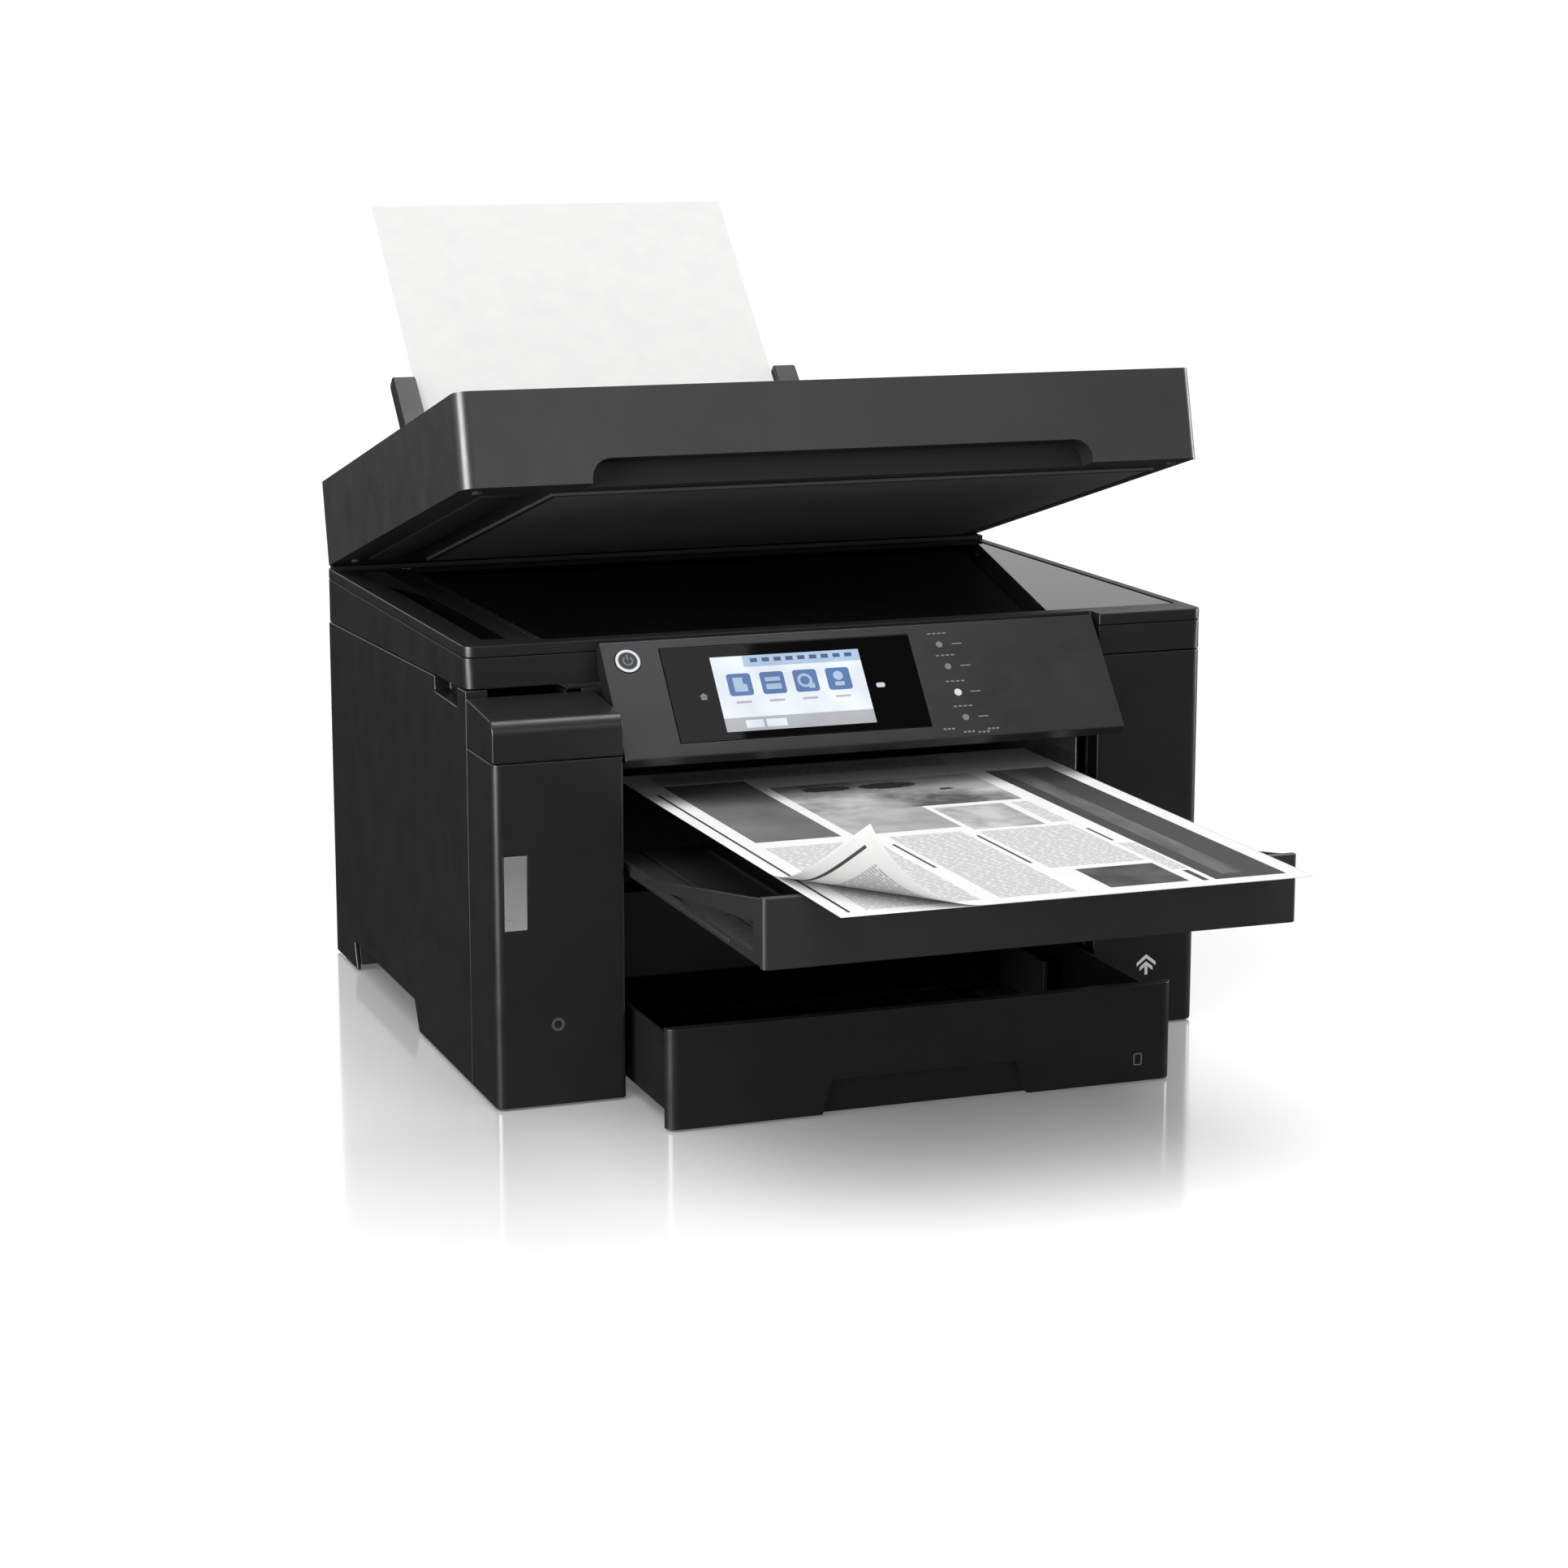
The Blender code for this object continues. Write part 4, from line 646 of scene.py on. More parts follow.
def make_panel_marks(looks):
    """Status lamps in a column beside the display, each with strokes by it, and low marks."""
    dim, strokes, bright = bmesh.new(), bmesh.new(), bmesh.new()
    for i, (x, drop) in enumerate(STATUS_LAMPS):
        lit = i == LIT_LAMP
        spot = circle((x, PANEL_TOP - drop), 2.6 if lit else 2.3, 16)
        prism(spot, "y", FACE - 0.06, FACE + 0.3, bright if lit else dim)
        for k in range(4):
            at = x - 6.5 + k * 3.6
            on_panel(at, at + 2.4, drop - 9.0, drop - 8.0, 50, strokes)
        on_panel(x + 9, x + 16, drop - 0.4, drop + 0.4, 50, strokes)
    for x, drop in LOW_MARKS:
        for k in range(3):
            at = x - 4 + k * 3.0
            on_panel(at, at + 2.0, drop - 0.6, drop + 0.6, 50, strokes)
    place_mesh("status_lamps", dim, looks["dim_lamp"], PANEL, "panel")
    place_mesh("status_strokes", strokes, looks["grey_mark"], PANEL, "panel")
    place_mesh("status_lamp_lit", bright, looks["lamp"], PANEL, "panel")


# ---------------------------------------- printed sheets
SHEET_CELL = 2.0  # side of one cell of the grid that a page is made of
CURL_BACK = 118.0  # where the fold meets the left edge, from the corner
CURL_SIDE = 88.0  # where it meets the front edge
CURL_RADIUS = 40.0
SHEET_THICKNESS = 0.12


def page_look(u, v):
    """Which material covers a place on the page, by millimetres from its left and front edges."""
    if 8 <= u < 10 and 10 <= v < 352:
        return "bar"
    if 238 <= u < 284 and 12 <= v < 352:
        return "strip_gap" if 248 <= u < 262 and 24 <= v else "bar"
    if 230 <= u < 234 and 12 <= v < 40:
        return "bar"
    if 20 <= u < 76 and 196 <= v < 376:
        return "block"
    if 172 <= u < 222 and 14 <= v < 64:
        return "dark_picture"
    if 160 <= u < 208 and 186 <= v < 254:
        return "picture"
    for blob_u, blob_v, reach_u, reach_v in ((118, 333, 17, 8), (160, 331, 20, 9), (193, 309, 5, 4)):
        if ((u - blob_u) / reach_u) ** 2 + ((v - blob_v) / reach_v) ** 2 < 1:
            return "bar"
    if ((u - 186) / 18) ** 2 + ((v - 206) / 8) ** 2 < 1:
        return "dark_grey"
    if 84 <= u < 226 and 262 <= v < 350:
        return "large_picture"
    if 84 <= u < 156 and 196 <= v < 262:
        return "grey"
    for bar_u, low, high in ((96, 96, 164), (154, 88, 170), (226, 128, 166)):
        if bar_u <= u < bar_u + 2 and low <= v < high:
            return "bar"
    for low_u, high_u, low_v, high_v in (
        (20, 90, 12, 180),
        (102, 150, 12, 184),
        (160, 222, 72, 180),
        (214, 226, 190, 254),
        (226, 236, 44, 120),
        (20, 226, 382, 408),
    ):
        if low_u <= u < high_u and low_v <= v < high_v:
            return "lines"
    return "paper"


def page_materials(looks):
    """The page's materials by the names that page_look gives, in the order of their slots."""
    return {
        "paper": looks["page_paper"],
        "bar": print_ink("print_bar", 0.008, 0.003, 300.0),
        "strip_gap": print_ink("print_strip_mark", 0.06, 0.045, 24.0, stretch=(1.0, 0.25, 1.0)),
        "block": print_ink("print_block", 0.085, 0.025, 12.0),
        "dark_picture": print_ink("print_dark_picture", 0.02, 0.017, 40.0),
        "dark_grey": print_ink("print_dark_grey", 0.1, 0.03, 60.0),
        "picture": print_ink("print_picture", 0.34, 0.12, 30.0),
        "large_picture": print_ink("print_face", 0.24, 0.2, 14.0),
        "grey": print_ink("print_grey", 0.3, 0.05, 30.0),
        "lines": print_lines("print_lines", 0.0026, 0.33, 0.62),
    }


def curled(u, v, height):
    """Where a place on the top sheet goes once its front-left corner is rolled back over the fold."""
    length = math.hypot(CURL_BACK, CURL_SIDE)
    to_corner = (-CURL_BACK / length, -CURL_SIDE / length)
    past = CURL_BACK * CURL_SIDE / length - (u * CURL_BACK + v * CURL_SIDE) / length
    if past <= 0:
        return u, v, height
    angle = past / CURL_RADIUS
    if angle <= math.pi:
        along = CURL_RADIUS * math.sin(angle)
        rise = CURL_RADIUS * (1 - math.cos(angle))
    else:
        along = -(past - math.pi * CURL_RADIUS)
        rise = 2 * CURL_RADIUS - 0.12 * (past - math.pi * CURL_RADIUS)
    shift = along - past
    return u + to_corner[0] * shift, v + to_corner[1] * shift, height + rise


def make_page(name, looks, low, high, lift, roll):
    """One printed sheet as a fine grid, with its print by place and the corner rolled if asked."""
    inks = page_materials(looks)
    slots = list(inks)
    mesh = bmesh.new()
    uv = mesh.loops.layers.uv.new("page")
    width, depth = high.x - low.x, high.y - low.y
    columns, rows = round(width / SHEET_CELL), round(depth / SHEET_CELL)
    grid = []
    for j in range(rows + 1):
        line = []
        for i in range(columns + 1):
            u, v = width * i / columns, depth * j / rows
            x, y, z = curled(u, v, lift) if roll else (u, v, lift)
            line.append(mesh.verts.new((low.x + x, low.y + y, z)))
        grid.append(line)
    for j in range(rows):
        for i in range(columns):
            face = mesh.faces.new((grid[j][i], grid[j][i + 1], grid[j + 1][i + 1], grid[j + 1][i]))
            u, v = width * (i + 0.5) / columns, depth * (j + 0.5) / rows
            face.material_index = slots.index(page_look(u, v))
            for loop, (a, b) in zip(face.loops, ((i, j), (i + 1, j), (i + 1, j + 1), (i, j + 1))):
                loop[uv].uv = (width * a / columns * MM, depth * b / rows * MM)
    obj = place_mesh(name, mesh, list(inks.values()), BODY, "tray")
    thick = obj.modifiers.new("thickness", "SOLIDIFY")
    thick.thickness = SHEET_THICKNESS * MM
    thick.offset = -1.0
    return obj


def make_pages(looks):
    """The curled top sheet and the sheet below it."""
    low, high = node_box("printed_sheet")
    top = make_page("printed_page_top", looks, low, high, high.z - 0.1, True)
    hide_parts("printed_sheet")
    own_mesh(top)
    shifted = Vector((low.x + 0.6, low.y + 0.8, 0)), Vector((high.x - 0.4, high.y - 0.4, 0))
    make_page("printed_page_below", looks, *shifted, low.z + 0.45, False)


# ---------------------------------------- tower, column and cassette marks
COLUMN_FACE = 47.0  # y of the right column's front
ARROW_PLACE = (220.0, 50.5)  # x and z of the arrow's tip


def make_window_trim(looks, face):
    """A rim round the tower's window and two level marks on it."""
    low, high = node_box("tank_window")
    rim = bmesh.new()
    for x0, x1, z0, z1 in (
        (low.x - 0.9, low.x - 0.1, low.z - 0.9, high.z + 0.9),
        (high.x + 0.1, high.x + 0.9, low.z - 0.9, high.z + 0.9),
        (low.x - 0.1, high.x + 0.1, low.z - 0.9, low.z - 0.1),
        (low.x - 0.1, high.x + 0.1, high.z + 0.1, high.z + 0.9),
    ):
        block(x0, x1, face + 0.05, face + 1.2, z0, z1, rim)
    place_mesh("window_rim", rim, looks["dark"], BODY, "body", 0.2)
    levels = bmesh.new()
    for z in (low.z + 7, high.z - 9):
        block(low.x + 0.8, low.x + 5.4, low.y - 0.08, low.y + 0.2, z, z + 0.5, levels)
    place_mesh("window_level_marks", levels, looks["grey_mark"], BODY, "body")


def make_front_marks(looks):
    """Pictograms on the front: a ring on the tower, an up arrow on the column, a sheet on the cassette."""
    face = node_box("tank_housing")[0].y
    make_window_trim(looks, face)
    mark = ring((-217.0, 54.0), 4.4, 2.6, face - 0.04, face + 0.3, 28)
    place_mesh("drop_mark", mark, looks["dim_mark"], BODY, "body")

    arrow = bmesh.new()
    x, top = ARROW_PLACE
    for z, reach in ((top, 7.2), (top - 5.0, 5.0)):
        for side in (-1, 1):
            tip = (x + side * reach, z - reach * 0.8)
            outline = [(x, z), tip, (tip[0], tip[1] - 2.6), (x, z - 2.8)]
            prism(outline, "y", COLUMN_FACE - 0.08, COLUMN_FACE + 0.3, arrow)
    block(x - 1.1, x + 1.1, COLUMN_FACE - 0.08, COLUMN_FACE + 0.3, 36.0, 42.0, arrow)
    place_mesh("arrow_mark", arrow, looks["white_mark"], BODY, "body")

    plate = node_box("lower_cassette")[0].y
    sheet = bmesh.new()
    for x in (150.0, 155.3):
        block(x, x + 0.7, plate - 0.06, plate + 0.3, 12, 20, sheet)
    for z in (19.3, 12.0):
        block(150, 156, plate - 0.06, plate + 0.3, z, z + 0.7, sheet)
    place_mesh("cassette_mark", sheet, looks["grey_mark"], BODY, "lower_cassette")


# ---------------------------------------- trays and cassettes
def make_cassette_ribs(looks):
    """Crossed ribs and two friction pads on the floor of each cassette."""
    for node, floor_rise in (("lower_cassette", 10.0), ("upper_cassette", 7.5)):
        low, high = node_box(node)
        floor = low.z + floor_rise
        ribs = bmesh.new()
        for i in range(9):
            x = low.x + 30 + i * (high.x - low.x - 60) / 8
            block(x - 0.7, x + 0.7, low.y + 12, high.y - 8, floor, floor + 1.1, ribs)
        for i in range(4):
            y = low.y + 30 + i * 100
            block(low.x + 12, high.x - 12, y - 0.7, y + 0.7, floor, floor + 0.9, ribs)
        place_mesh(f"{node}_ribs", ribs, looks["frame"], BODY, node, 0.25)
        pads = bmesh.new()
        for x in (-40, 48):
            block(x - 11, x + 11, high.y - 60, high.y - 20, floor, floor + 1.6, pads)
        place_mesh(f"{node}_pads", pads, looks["rubber"], BODY, node, 0.4)


def make_tray_ribs(looks):
    """Ribs on the output tray's floor, a bar across them, and the rails it slides on."""
    low, high = node_box("output_tray")
    ribs = bmesh.new()
    for i in range(8):
        x = low.x + 24 + i * (high.x - low.x - 48) / 7
        block(x - 1.0, x + 1.0, low.y + 8, high.y - 4, low.z + 3.9, low.z + 6.4, ribs)
    block(low.x + 20, high.x - 20, low.y + 120, low.y + 122, low.z + 3.9, low.z + 5.6, ribs)
    place_mesh("output_tray_ribs", ribs, looks["tray"], BODY, "tray", 0.5)
    rails = bmesh.new()
    for x in (low.x - 0.2, high.x - 1.0):
        block(x, x + 1.2, low.y + 60, high.y - 6, low.z + 2.0, low.z + 5.0, rails)
    place_mesh("output_tray_rails", rails, looks["frame"], BODY, "tray", 0.3)


# ---------------------------------------- scanner and lid
def size_scale(low, high):
    """Tick marks along the left and back edges of the scanner glass, every fifth one longer."""
    ticks = bmesh.new()
    left, back = low.x - 6, high.y + 4
    for i in range(30):
        y = low.y + 6 + i * (high.y - low.y - 12) / 29
        block(left, left + (1.8 if i % 5 else 3.4), y - 0.2, y + 0.2, BED - 0.2, BED + 0.05, ticks)
    for i in range(40):
        x = low.x + 6 + i * (high.x - low.x - 12) / 39
        block(x - 0.2, x + 0.2, back, back + (1.8 if i % 5 else 3.4), BED - 0.2, BED + 0.05, ticks)
    return ticks


def make_scanner_details(looks):
    """The hinge cover behind the glass, a size scale along the glass, and the feeder's reading strip."""
    low, high = node_box("scanner_glass")
    axis = BODY.inverted() @ joint_place("lid_open")
    cover = block(LEFT + 0.2, RIGHT - 0.2, axis.y - 11, axis.y, BED - 0.2, axis.z - 0.1)
    place_mesh("lid_hinge_cover", cover, looks["dark"], BODY, "scanner")
    place_mesh("size_scale", size_scale(low, high), looks["grey_mark"], BODY, "scanner")
    corner = [(low.x - 7, high.y + 3), (low.x - 1, high.y + 3), (low.x - 1, high.y - 3)]
    arrow = prism(corner, "z", BED - 0.2, BED + 0.05)
    place_mesh("corner_arrow", arrow, looks["white_mark"], BODY, "scanner")
    strip = block(LEFT + 18, LEFT + 34, low.y + 10, high.y - 10, BED - 0.2, BED + 0.08)
    place_mesh("reading_strip", strip, looks["bed_glass"], BODY, "scanner", 0.1)


LID_TOP = 62.0  # z of the cover's top in LID


def make_lid_top(looks):
    """Feeder ribs, side guides and a grip on the lid, and painted shade inside the feeder's slot: its faces
    take the dark inner plastic.
    """
    x = (LID.inverted() @ joint_place("adf_tray_raise")).x
    ribs = bmesh.new()
    for i in range(7):
        y = -318 + i * 42
        block(x + 12, x + 250, y - 0.8, y + 0.8, LID_TOP - 0.2, LID_TOP + 0.7, ribs)
    place_mesh("adf_tray_ribs", ribs, looks["lid"], LID, "adf_tray", 0.3)
    for side, y in (("front", -300.0), ("back", -92.0)):
        guide = block(x + 30, x + 96, y - 2.0, y + 2.0, LID_TOP + 0.1, LID_TOP + 2.4)
        place_mesh(f"adf_guide_{side}", guide, looks["dark"], LID, "adf_tray", 0.6)
    pull = block(x - 62, x - 14, -212.0, -176.0, LID_TOP - 0.1, LID_TOP + 0.8)
    place_mesh("adf_cover_grip", pull, looks["dark"], LID, "adf_cover", 0.5)
    into = LID.inverted() @ BODY

    # faces inside the feeder's slot, which get the dark inner plastic as painted shade
    def in_slot_shade(place, facing):
        spot = into @ place
        return -389.0 < spot.y < -371.0 and spot.z < 16.5 and abs(spot.x) < 200

    paint("document_cover", looks["inner"], in_slot_shade)


def make_lid_underside(looks):
    """The mat's edge, the backing that faces the reading strip, and four pads."""
    seam = bmesh.new()
    for x0, x1, y0, y1 in (
        (-189, 239, -356, -354),
        (-189, 239, -23, -21),
        (-189, -187, -356, -21),
        (237, 239, -356, -21),
    ):
        block(x0, x1, y0, y1, -3.0, -2.4, seam)
    place_mesh("mat_edge", seam, looks["dark"], LID, "lid", 0.2)
    strip = block(LEFT + 22, LEFT + 48, -350.0, -30.0, -1.0, 0.3)
    place_mesh("feeder_backing", strip, looks["inner"], LID, "lid", 0.3)
    bumpers = bmesh.new()
    for x in (LEFT + 14, RIGHT - 12):
        for y in (-372.0, -24.0):
            prism(circle((x, y), 3.2, 18), "z", -1.4, 0.3, bumpers)
    place_mesh("lid_bumpers", bumpers, looks["rubber"], LID, "lid", 0.4)


# ---------------------------------------- back, sides and inside
def upright_slots(mesh, centres, half, z0, z1, radius, y0, y1):
    """A row of upright slots with round ends on a wall that faces back."""
    for x in centres:
        prism(rounded_rect(x - half, x + half, z0, z1, radius, 3), "y", y0, y1, mesh)


def make_louvres(looks, wall, house_low, house_high):
    """Two banks of slots in the rear cover and one across the rear feed's housing, drawn as dark shapes on
    the wall: painted shade for the openings.
    """
    louvres = bmesh.new()
    for z in (96, 142):
        centres = [RIGHT - 66 + i * 5.0 for i in range(12)]
        upright_slots(louvres, centres, 1.1, z, z + 34, 1.0, wall - 0.4, wall + 0.15)
    pitch = (house_high.x - house_low.x - 120) / 25
    centres = [house_low.x + 60 + i * pitch for i in range(26)]
    upright_slots(louvres, centres, 1.4, 120, 176, 1.3, house_high.y - 0.4, house_high.y + 0.12)
    # the slots take the dark inner plastic as painted shade
    place_mesh("rear_louvre_shade", louvres, looks["inner"], BODY, "body")


def make_screws(looks, wall, house_low, house_high):
    """Pan-head screws in the rear cover and the rear feed's housing, facing back, with dark crosses on their
    heads as painted shade for the cross recesses.
    """
    heads, crosses = bmesh.new(), bmesh.new()
    places = [(x, z, wall) for x in (LEFT + 14, RIGHT - 14) for z in (24, 128, 232)]
    places += [(x, z, house_high.y) for x in (house_low.x + 14, house_high.x - 14) for z in (20, 200)]
    for x, z, y in places:
        prism(circle((x, z), 3.0, 20), "y", y - 0.2, y + 1.3, heads)
        for a, b in ((1.7, 0.35), (0.35, 1.7)):
            block(x - a, x + a, y + 1.2, y + 1.36, z - b, z + b, crosses)
    place_mesh("rear_screws", heads, looks["bright"], BODY, "body", 0.5)
    # dark crosses standing for the recesses: painted shade
    place_mesh("rear_screw_recess_shade", crosses, looks["inner"], BODY, "body")


SOCKETS = ((150, 16, 13), (176, 12, 11), (198, 13, 6))  # z, width and height


def make_sockets(looks, wall):
    """Three signal sockets beside the left edge, each with a shell, a dark opening drawn as painted shade,
    and a row of contacts.
    """
    frames, holes, pins = bmesh.new(), bmesh.new(), bmesh.new()
    x = LEFT + 30
    for z, w, h in SOCKETS:
        for inset, mesh, y in ((0.0, frames, wall + 0.5), (1.1, holes, wall + 0.62)):
            a, b = w / 2 - inset, h / 2 - inset
            prism(rounded_rect(x - a, x + a, z - b, z + b, 0.8, 3), "y", wall - 0.5, y, mesh)
        for k in range(5):
            at = x - w / 4 + k * w / 8
            block(at - 0.3, at + 0.3, wall + 0.4, wall + 0.7, z + h / 2 - 3.0, z + h / 2 - 1.6, pins)
    place_mesh("socket_frames", frames, looks["bright"], BODY, "body", 0.25)
    # the openings are dark shapes on the shells: painted shade
    place_mesh("socket_opening_shade", holes, looks["inner"], BODY, "body")
    place_mesh("socket_contacts", pins, looks["gold"], BODY, "body")


def make_back(looks):
    """Louvres, screws, sockets, the inlet's pins and the maintenance box's catch on the rear."""
    wall = node_box("rear_cover")[1].y
    house = node_box("rear_feed_housing")
    make_louvres(looks, wall, *house)
    make_screws(looks, wall, *house)
    make_sockets(looks, wall)
    low, high = node_box("power_inlet")
    middle = (low + high) / 2
    prongs = bmesh.new()
    for x in (middle.x - 5.0, middle.x + 5.0):
        prism(circle((x, middle.z - 1.0), 1.3, 14), "y", high.y - 15.5, high.y - 4, prongs)
    place_mesh("inlet_pins", prongs, looks["bright"], BODY, "body", 0.3)
    low, high = node_box("maintenance_box")
    catch = block(high.x - 14, high.x - 4, wall - 0.2, wall + 0.6, low.z + 8, low.z + 14)
    place_mesh("maintenance_catch", catch, looks["light_grey"], BODY, "maintenance_box", 0.3)


STAR_WHEELS = 14
STAR_PITCH = 22.0
STAR_POINTS = 12


def make_star_wheels(looks):
    """Star wheels on a shaft over the exit roller, and the bar with arms that holds them."""
    low, high = node_box("exit_roller")
    z = (low.z + high.z) / 2 + 15.5
    y = (low.y + high.y) / 2
    wheels = bmesh.new()
    bar = block(-158, 166, y - 4, y + 6, z + 5.8, z + 9.0)
    for i in range(STAR_WHEELS):
        x = -140 + i * STAR_PITCH
        star = []
        for k in range(2 * STAR_POINTS):
            radius = 5.4 if k % 2 else 4.2
            star.append(on_circle((y, z), radius, math.pi * k / STAR_POINTS))
        prism(star, "x", x, x + 1.2, wheels)
        block(x - 6, x - 4, y - 4, y + 4, z + 1, z + 6, bar)
    prism(circle((y, z), 1.1, 12), "x", -150, 158, wheels)
    place_mesh("star_wheels", wheels, looks["bright"], BODY, "body")
    place_mesh("star_wheel_holder", bar, looks["frame"], BODY, "body", 0.3)


def make_inside(looks):
    """What shows through the output mouth and inside the body: star wheels, and chips on the main board."""
    make_star_wheels(looks)
    low, high = node_box("main_board")
    chips = bmesh.new()
    random.seed(4)
    for _ in range(26):
        y = random.uniform(low.y + 8, high.y - 8)
        z = random.uniform(low.z + 6, high.z - 6)
        w, h = random.choice(((2, 1.2), (4, 3), (7, 5), (3, 3)))
        block(high.x - 0.1, high.x + 1.4, y - w, y + w, z - h, z + h, chips)
    place_mesh("board_chips", chips, looks["dark"], BODY, "body", 0.2)


def make_rear_feed(looks):
    """Ribs on the paper support, lower where the extension slides over them, and the stack's sheet edges."""
    ribs = bmesh.new()
    for i, rib_top in enumerate((5.2, 4.0, 4.0, 4.0, 5.2)):
        x = 4.25 - 80 + i * 40
        block(x - 1.2, x + 1.2, 3.7, rib_top, -40, 140, ribs)
    place_mesh("rear_support_ribs", ribs, looks["shell"], FEED, "body", 0.3)
    low, high = node_box("rear_sheet")
    edges = bmesh.new()
    for k in range(3):
        y = -0.98 + 0.3 * k
        block(low.x + 0.05, high.x - 0.05, y, y + 0.08, -58.9, 361.02, edges)
    place_mesh("rear_stack_edges", edges, looks["paper"], FEED, "body")


# ---------------------------------------- stage, light and camera
def make_stage():
    """A pale floor, seen directly and in its own mirror but not in the printer's gloss."""
    mesh = bmesh.new()
    size = 60.0
    corners = [(-size, -size), (size, -size), (size, size), (-size, size)]
    mesh.faces.new([mesh.verts.new((x, y, -0.0004)) for x, y in corners])
    data = bpy.data.meshes.new("floor")
    mesh.to_mesh(data)
    mesh.free()
    floor = new_object("floor", data)
    floor.data.materials.append(floor_look())
    floor.visible_glossy = False


FLOOR_SHEEN = 0.8  # share of mirror at the printer's foot
SHEEN_REACH = 0.55  # metres from the printer at which the mirror has faded out
SHEEN_HALF = 0.26  # half the side of the square, round the printer's foot, that the reach is measured from


def floor_look():
    """White board: soft mirror close to the printer, fading outward into a plain matt white."""
    look = bpy.data.materials.new("floor_white")
    look.use_nodes = True
    tree = look.node_tree
    tree.nodes.remove(tree.nodes["Principled BSDF"])
    place = split_place(tree, "Object")
    squares = []
    for axis, middle in (("X", 0.0), ("Y", FRONT + 0.24)):
        away = calc(tree, "ABSOLUTE", calc(tree, "SUBTRACT", place[axis], middle))
        outside = calc(tree, "MAXIMUM", calc(tree, "SUBTRACT", away, SHEEN_HALF), 0.0)
        squares.append(calc(tree, "POWER", outside, 2.0))
    far = calc(tree, "SQRT", calc(tree, "ADD", *squares))
    sheen = add(tree, "MapRange", interpolation_type="SMOOTHERSTEP", From_Min=-SHEEN_REACH * 0.6,
                From_Max=SHEEN_REACH, To_Min=FLOOR_SHEEN, To_Max=0.0)
    tree.links.new(far, sheen.inputs["Value"])
    matt = add(tree, "BsdfDiffuse", Color=(0.7, 0.7, 0.7, 1.0))
    fill = add(tree, "Emission", Color=(1.0, 1.0, 1.0, 1.0), Strength=0.27)
    lifted = add(tree, "AddShader")
    tree.links.new(matt.outputs[0], lifted.inputs[0])
    tree.links.new(fill.outputs[0], lifted.inputs[1])
    mirror = add(tree, "BsdfAnisotropic", Color=(1.0, 1.0, 1.0, 1.0), Roughness=0.1)
    blend = add(tree, "MixShader")
    tree.links.new(sheen.outputs["Result"], blend.inputs[0])
    tree.links.new(lifted.outputs[0], blend.inputs[1])
    tree.links.new(mirror.outputs[0], blend.inputs[2])
    tree.links.new(blend.outputs[0], tree.nodes["Material Output"].inputs["Surface"])
    return look


def lamp(name, place, target, size, power, on_matt=True):
    """An oblong softbox; one that is not on_matt shows only as a highlight."""
    data = bpy.data.lights.new(name, "AREA")
    data.shape = "RECTANGLE"
    data.size, data.size_y = size
    data.energy = power
    obj = new_object(name, data)
    obj.location = place
    obj.rotation_euler = (Vector(target) - Vector(place)).to_track_quat("-Z", "Y").to_euler()
    obj.visible_diffuse = on_matt


def make_lights():
    """Softboxes and strips that draw highlights on the edges and faces, and a broad soft key on all."""
    lamp("top_softbox", (-0.15, -0.9, 2.0), (-0.15, -0.89, 0.0), (1.45, 1.4), 8.0)
    lamp("left_strip", (-2.2, -0.95, 0.6), (0.0, -0.15, 0.25), (1.3, 1.2), 190.0, False)
    lamp("lid_softbox", (0.35, -2.3, 1.3), (-0.1, -0.17, 0.38), (1.1, 0.9), 6.0, False)
    lamp("tower_strip", (0.25, -0.05, 1.5), (-0.21, -0.2, 0.26), (0.7, 0.5), 10.0, False)
    lamp("overhead", (0.35, 0.75, 2.3), (0.1, 0.1, 0.2), (1.6, 0.9), 30.0, False)
    lamp("right_strip", (2.3, -0.2, 0.5), (0.1, 0.0, 0.2), (0.3, 1.0), 50.0, False)
    key = bpy.data.lights.new("broad_key", "SUN")
    key.energy = 3.3
    key.angle = math.radians(70)
    obj = new_object("broad_key", key)
    obj.rotation_euler = Vector((-0.25, -0.3, 0.92)).to_track_quat("Z", "Y").to_euler()
    obj.visible_glossy = False
    make_sky()


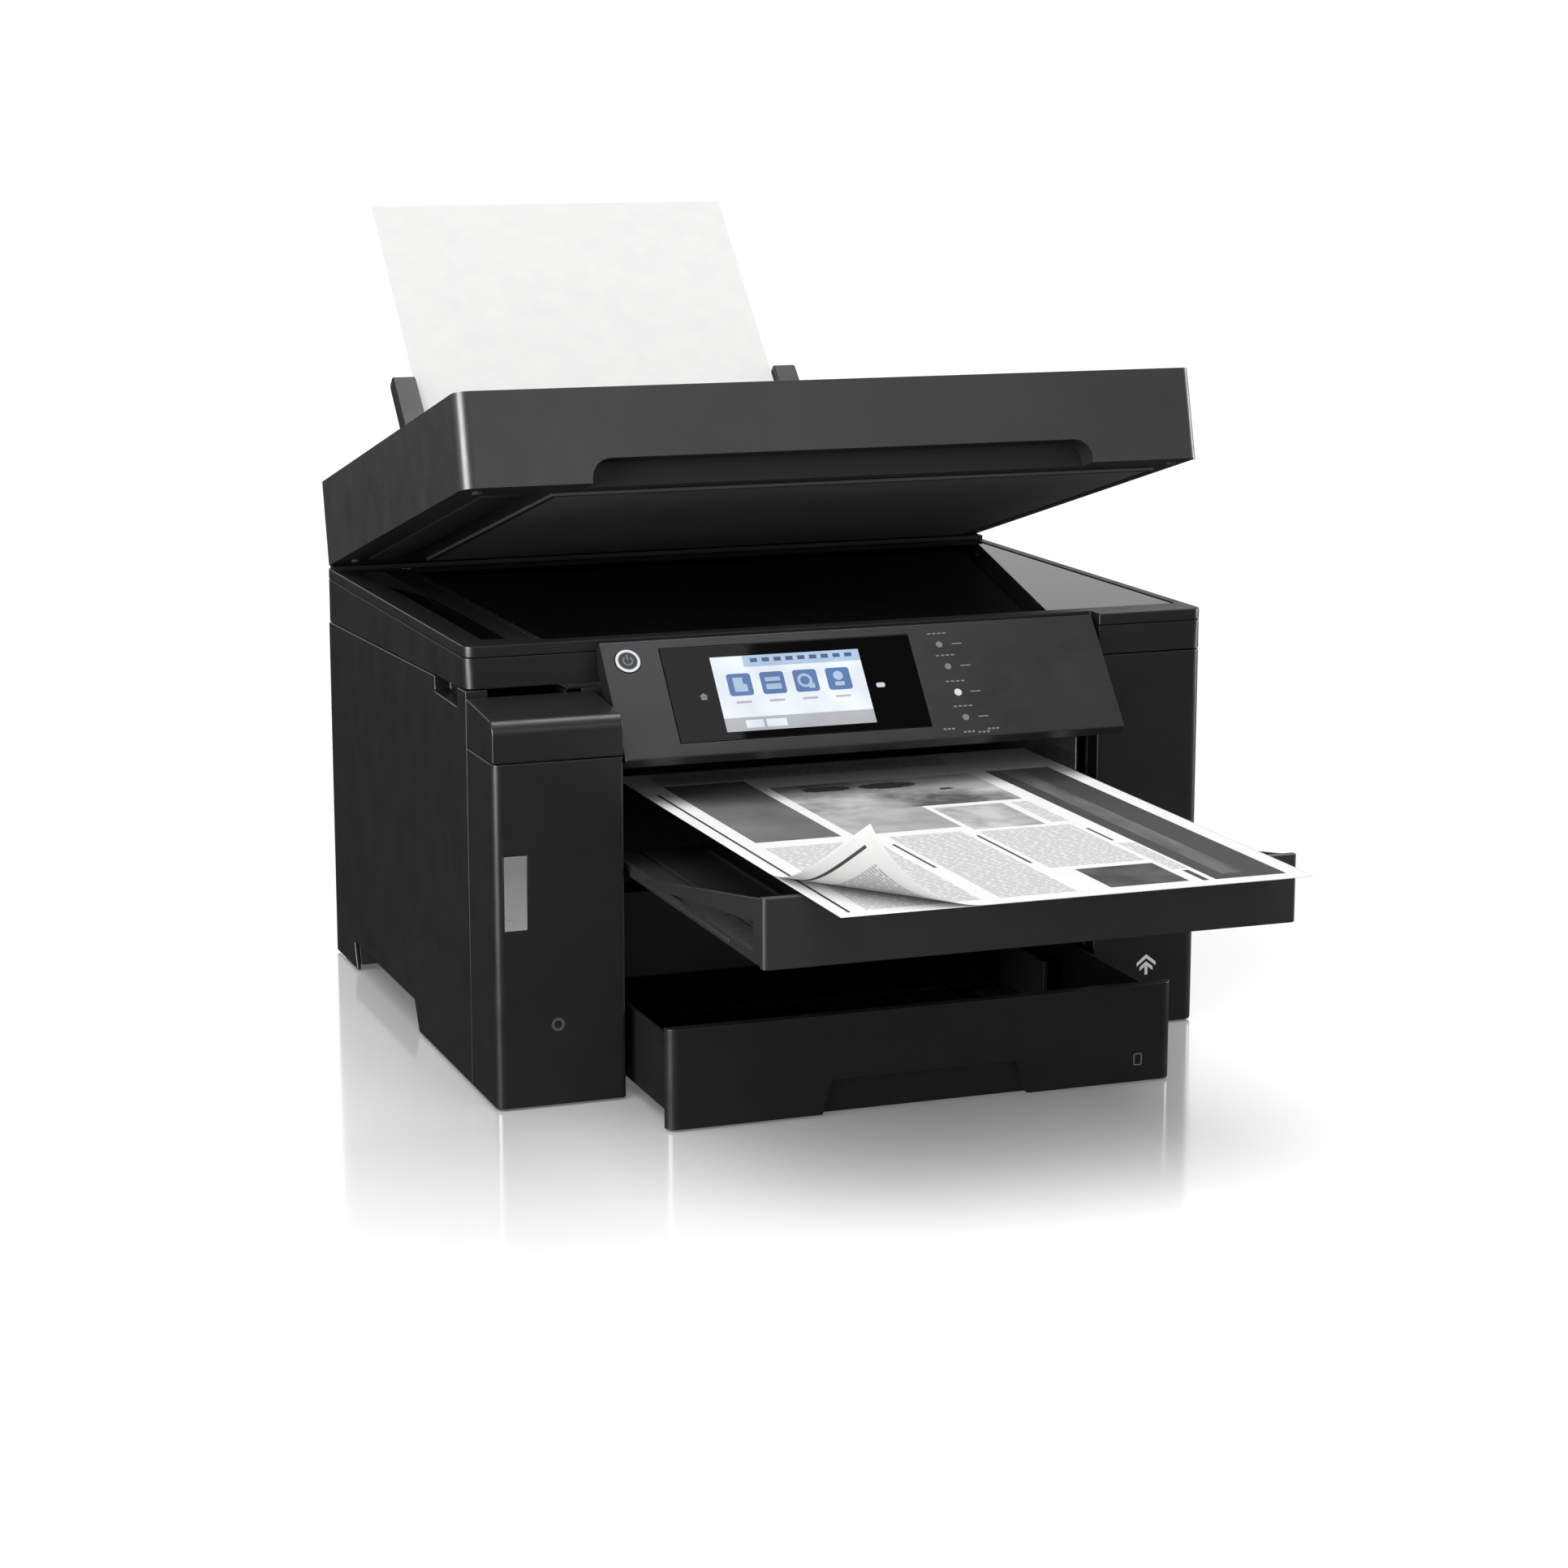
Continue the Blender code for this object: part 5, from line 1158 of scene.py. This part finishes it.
# Brightness of the surroundings by height, from straight down at -1 to straight up at 1.
SKY = ((-1.0, 0.02), (-0.03, 0.03), (-0.015, 1.1), (0.36, 1.1), (0.55, 0.12), (1.0, 0.05))


def make_sky():
    """Dark below, a bright band round the horizon, dark overhead, and dimmer toward the front."""
    world = bpy.data.worlds.new("studio")
    bpy.context.scene.world = world
    world.use_nodes = True
    tree = world.node_tree
    background = tree.nodes["Background"]
    place = split_place(tree, "Generated")
    height = remap(tree, place["Z"], 0.0, 1.0, -1.0, 1.0)
    ramp = add(tree, "ValToRGB")
    stops = [((rise + 1) / 2, level) for rise, level in SKY]
    elements = ramp.color_ramp.elements
    elements[0].position, elements[1].position = stops[0][0], stops[-1][0]
    elements[0].color = (*(stops[0][1],) * 3, 1.0)
    elements[1].color = (*(stops[-1][1],) * 3, 1.0)
    for position, level in stops[1:-1]:
        elements.new(position).color = (level, level, level, 1.0)
    tree.links.new(height, ramp.inputs["Fac"])
    tree.links.new(ramp.outputs["Color"], background.inputs["Color"])
    tree.links.new(remap(tree, place["Y"], 0.55, 1.0, -0.6, 0.2), background.inputs["Strength"])


CAMERA_PLACE = (-840.3, -2112.7, 659.5)  # in BODY
CAMERA_YAW = -20.18
CAMERA_PITCH = 11.55  # degrees below level
CAMERA_LENS = 81.98


def make_camera():
    """The photograph's camera."""
    data = bpy.data.cameras.new("camera")
    data.lens = CAMERA_LENS
    data.sensor_width = 36.0
    obj = new_object("camera", data)
    obj.location = BODY @ Vector(CAMERA_PLACE)
    obj.rotation_euler = (math.radians(90 - CAMERA_PITCH), 0.0, math.radians(CAMERA_YAW))
    bpy.context.scene.camera = obj


def main():
    looks = make_looks()
    dress_nodes(looks)
    make_panel(looks)
    make_pages(looks)
    make_front_marks(looks)
    make_cassette_ribs(looks)
    make_tray_ribs(looks)
    make_scanner_details(looks)
    make_lid_top(looks)
    make_lid_underside(looks)
    make_back(looks)
    make_inside(looks)
    make_rear_feed(looks)
    make_stage()
    make_lights()
    make_camera()
    bpy.context.scene.view_settings.view_transform = "Standard"


main()
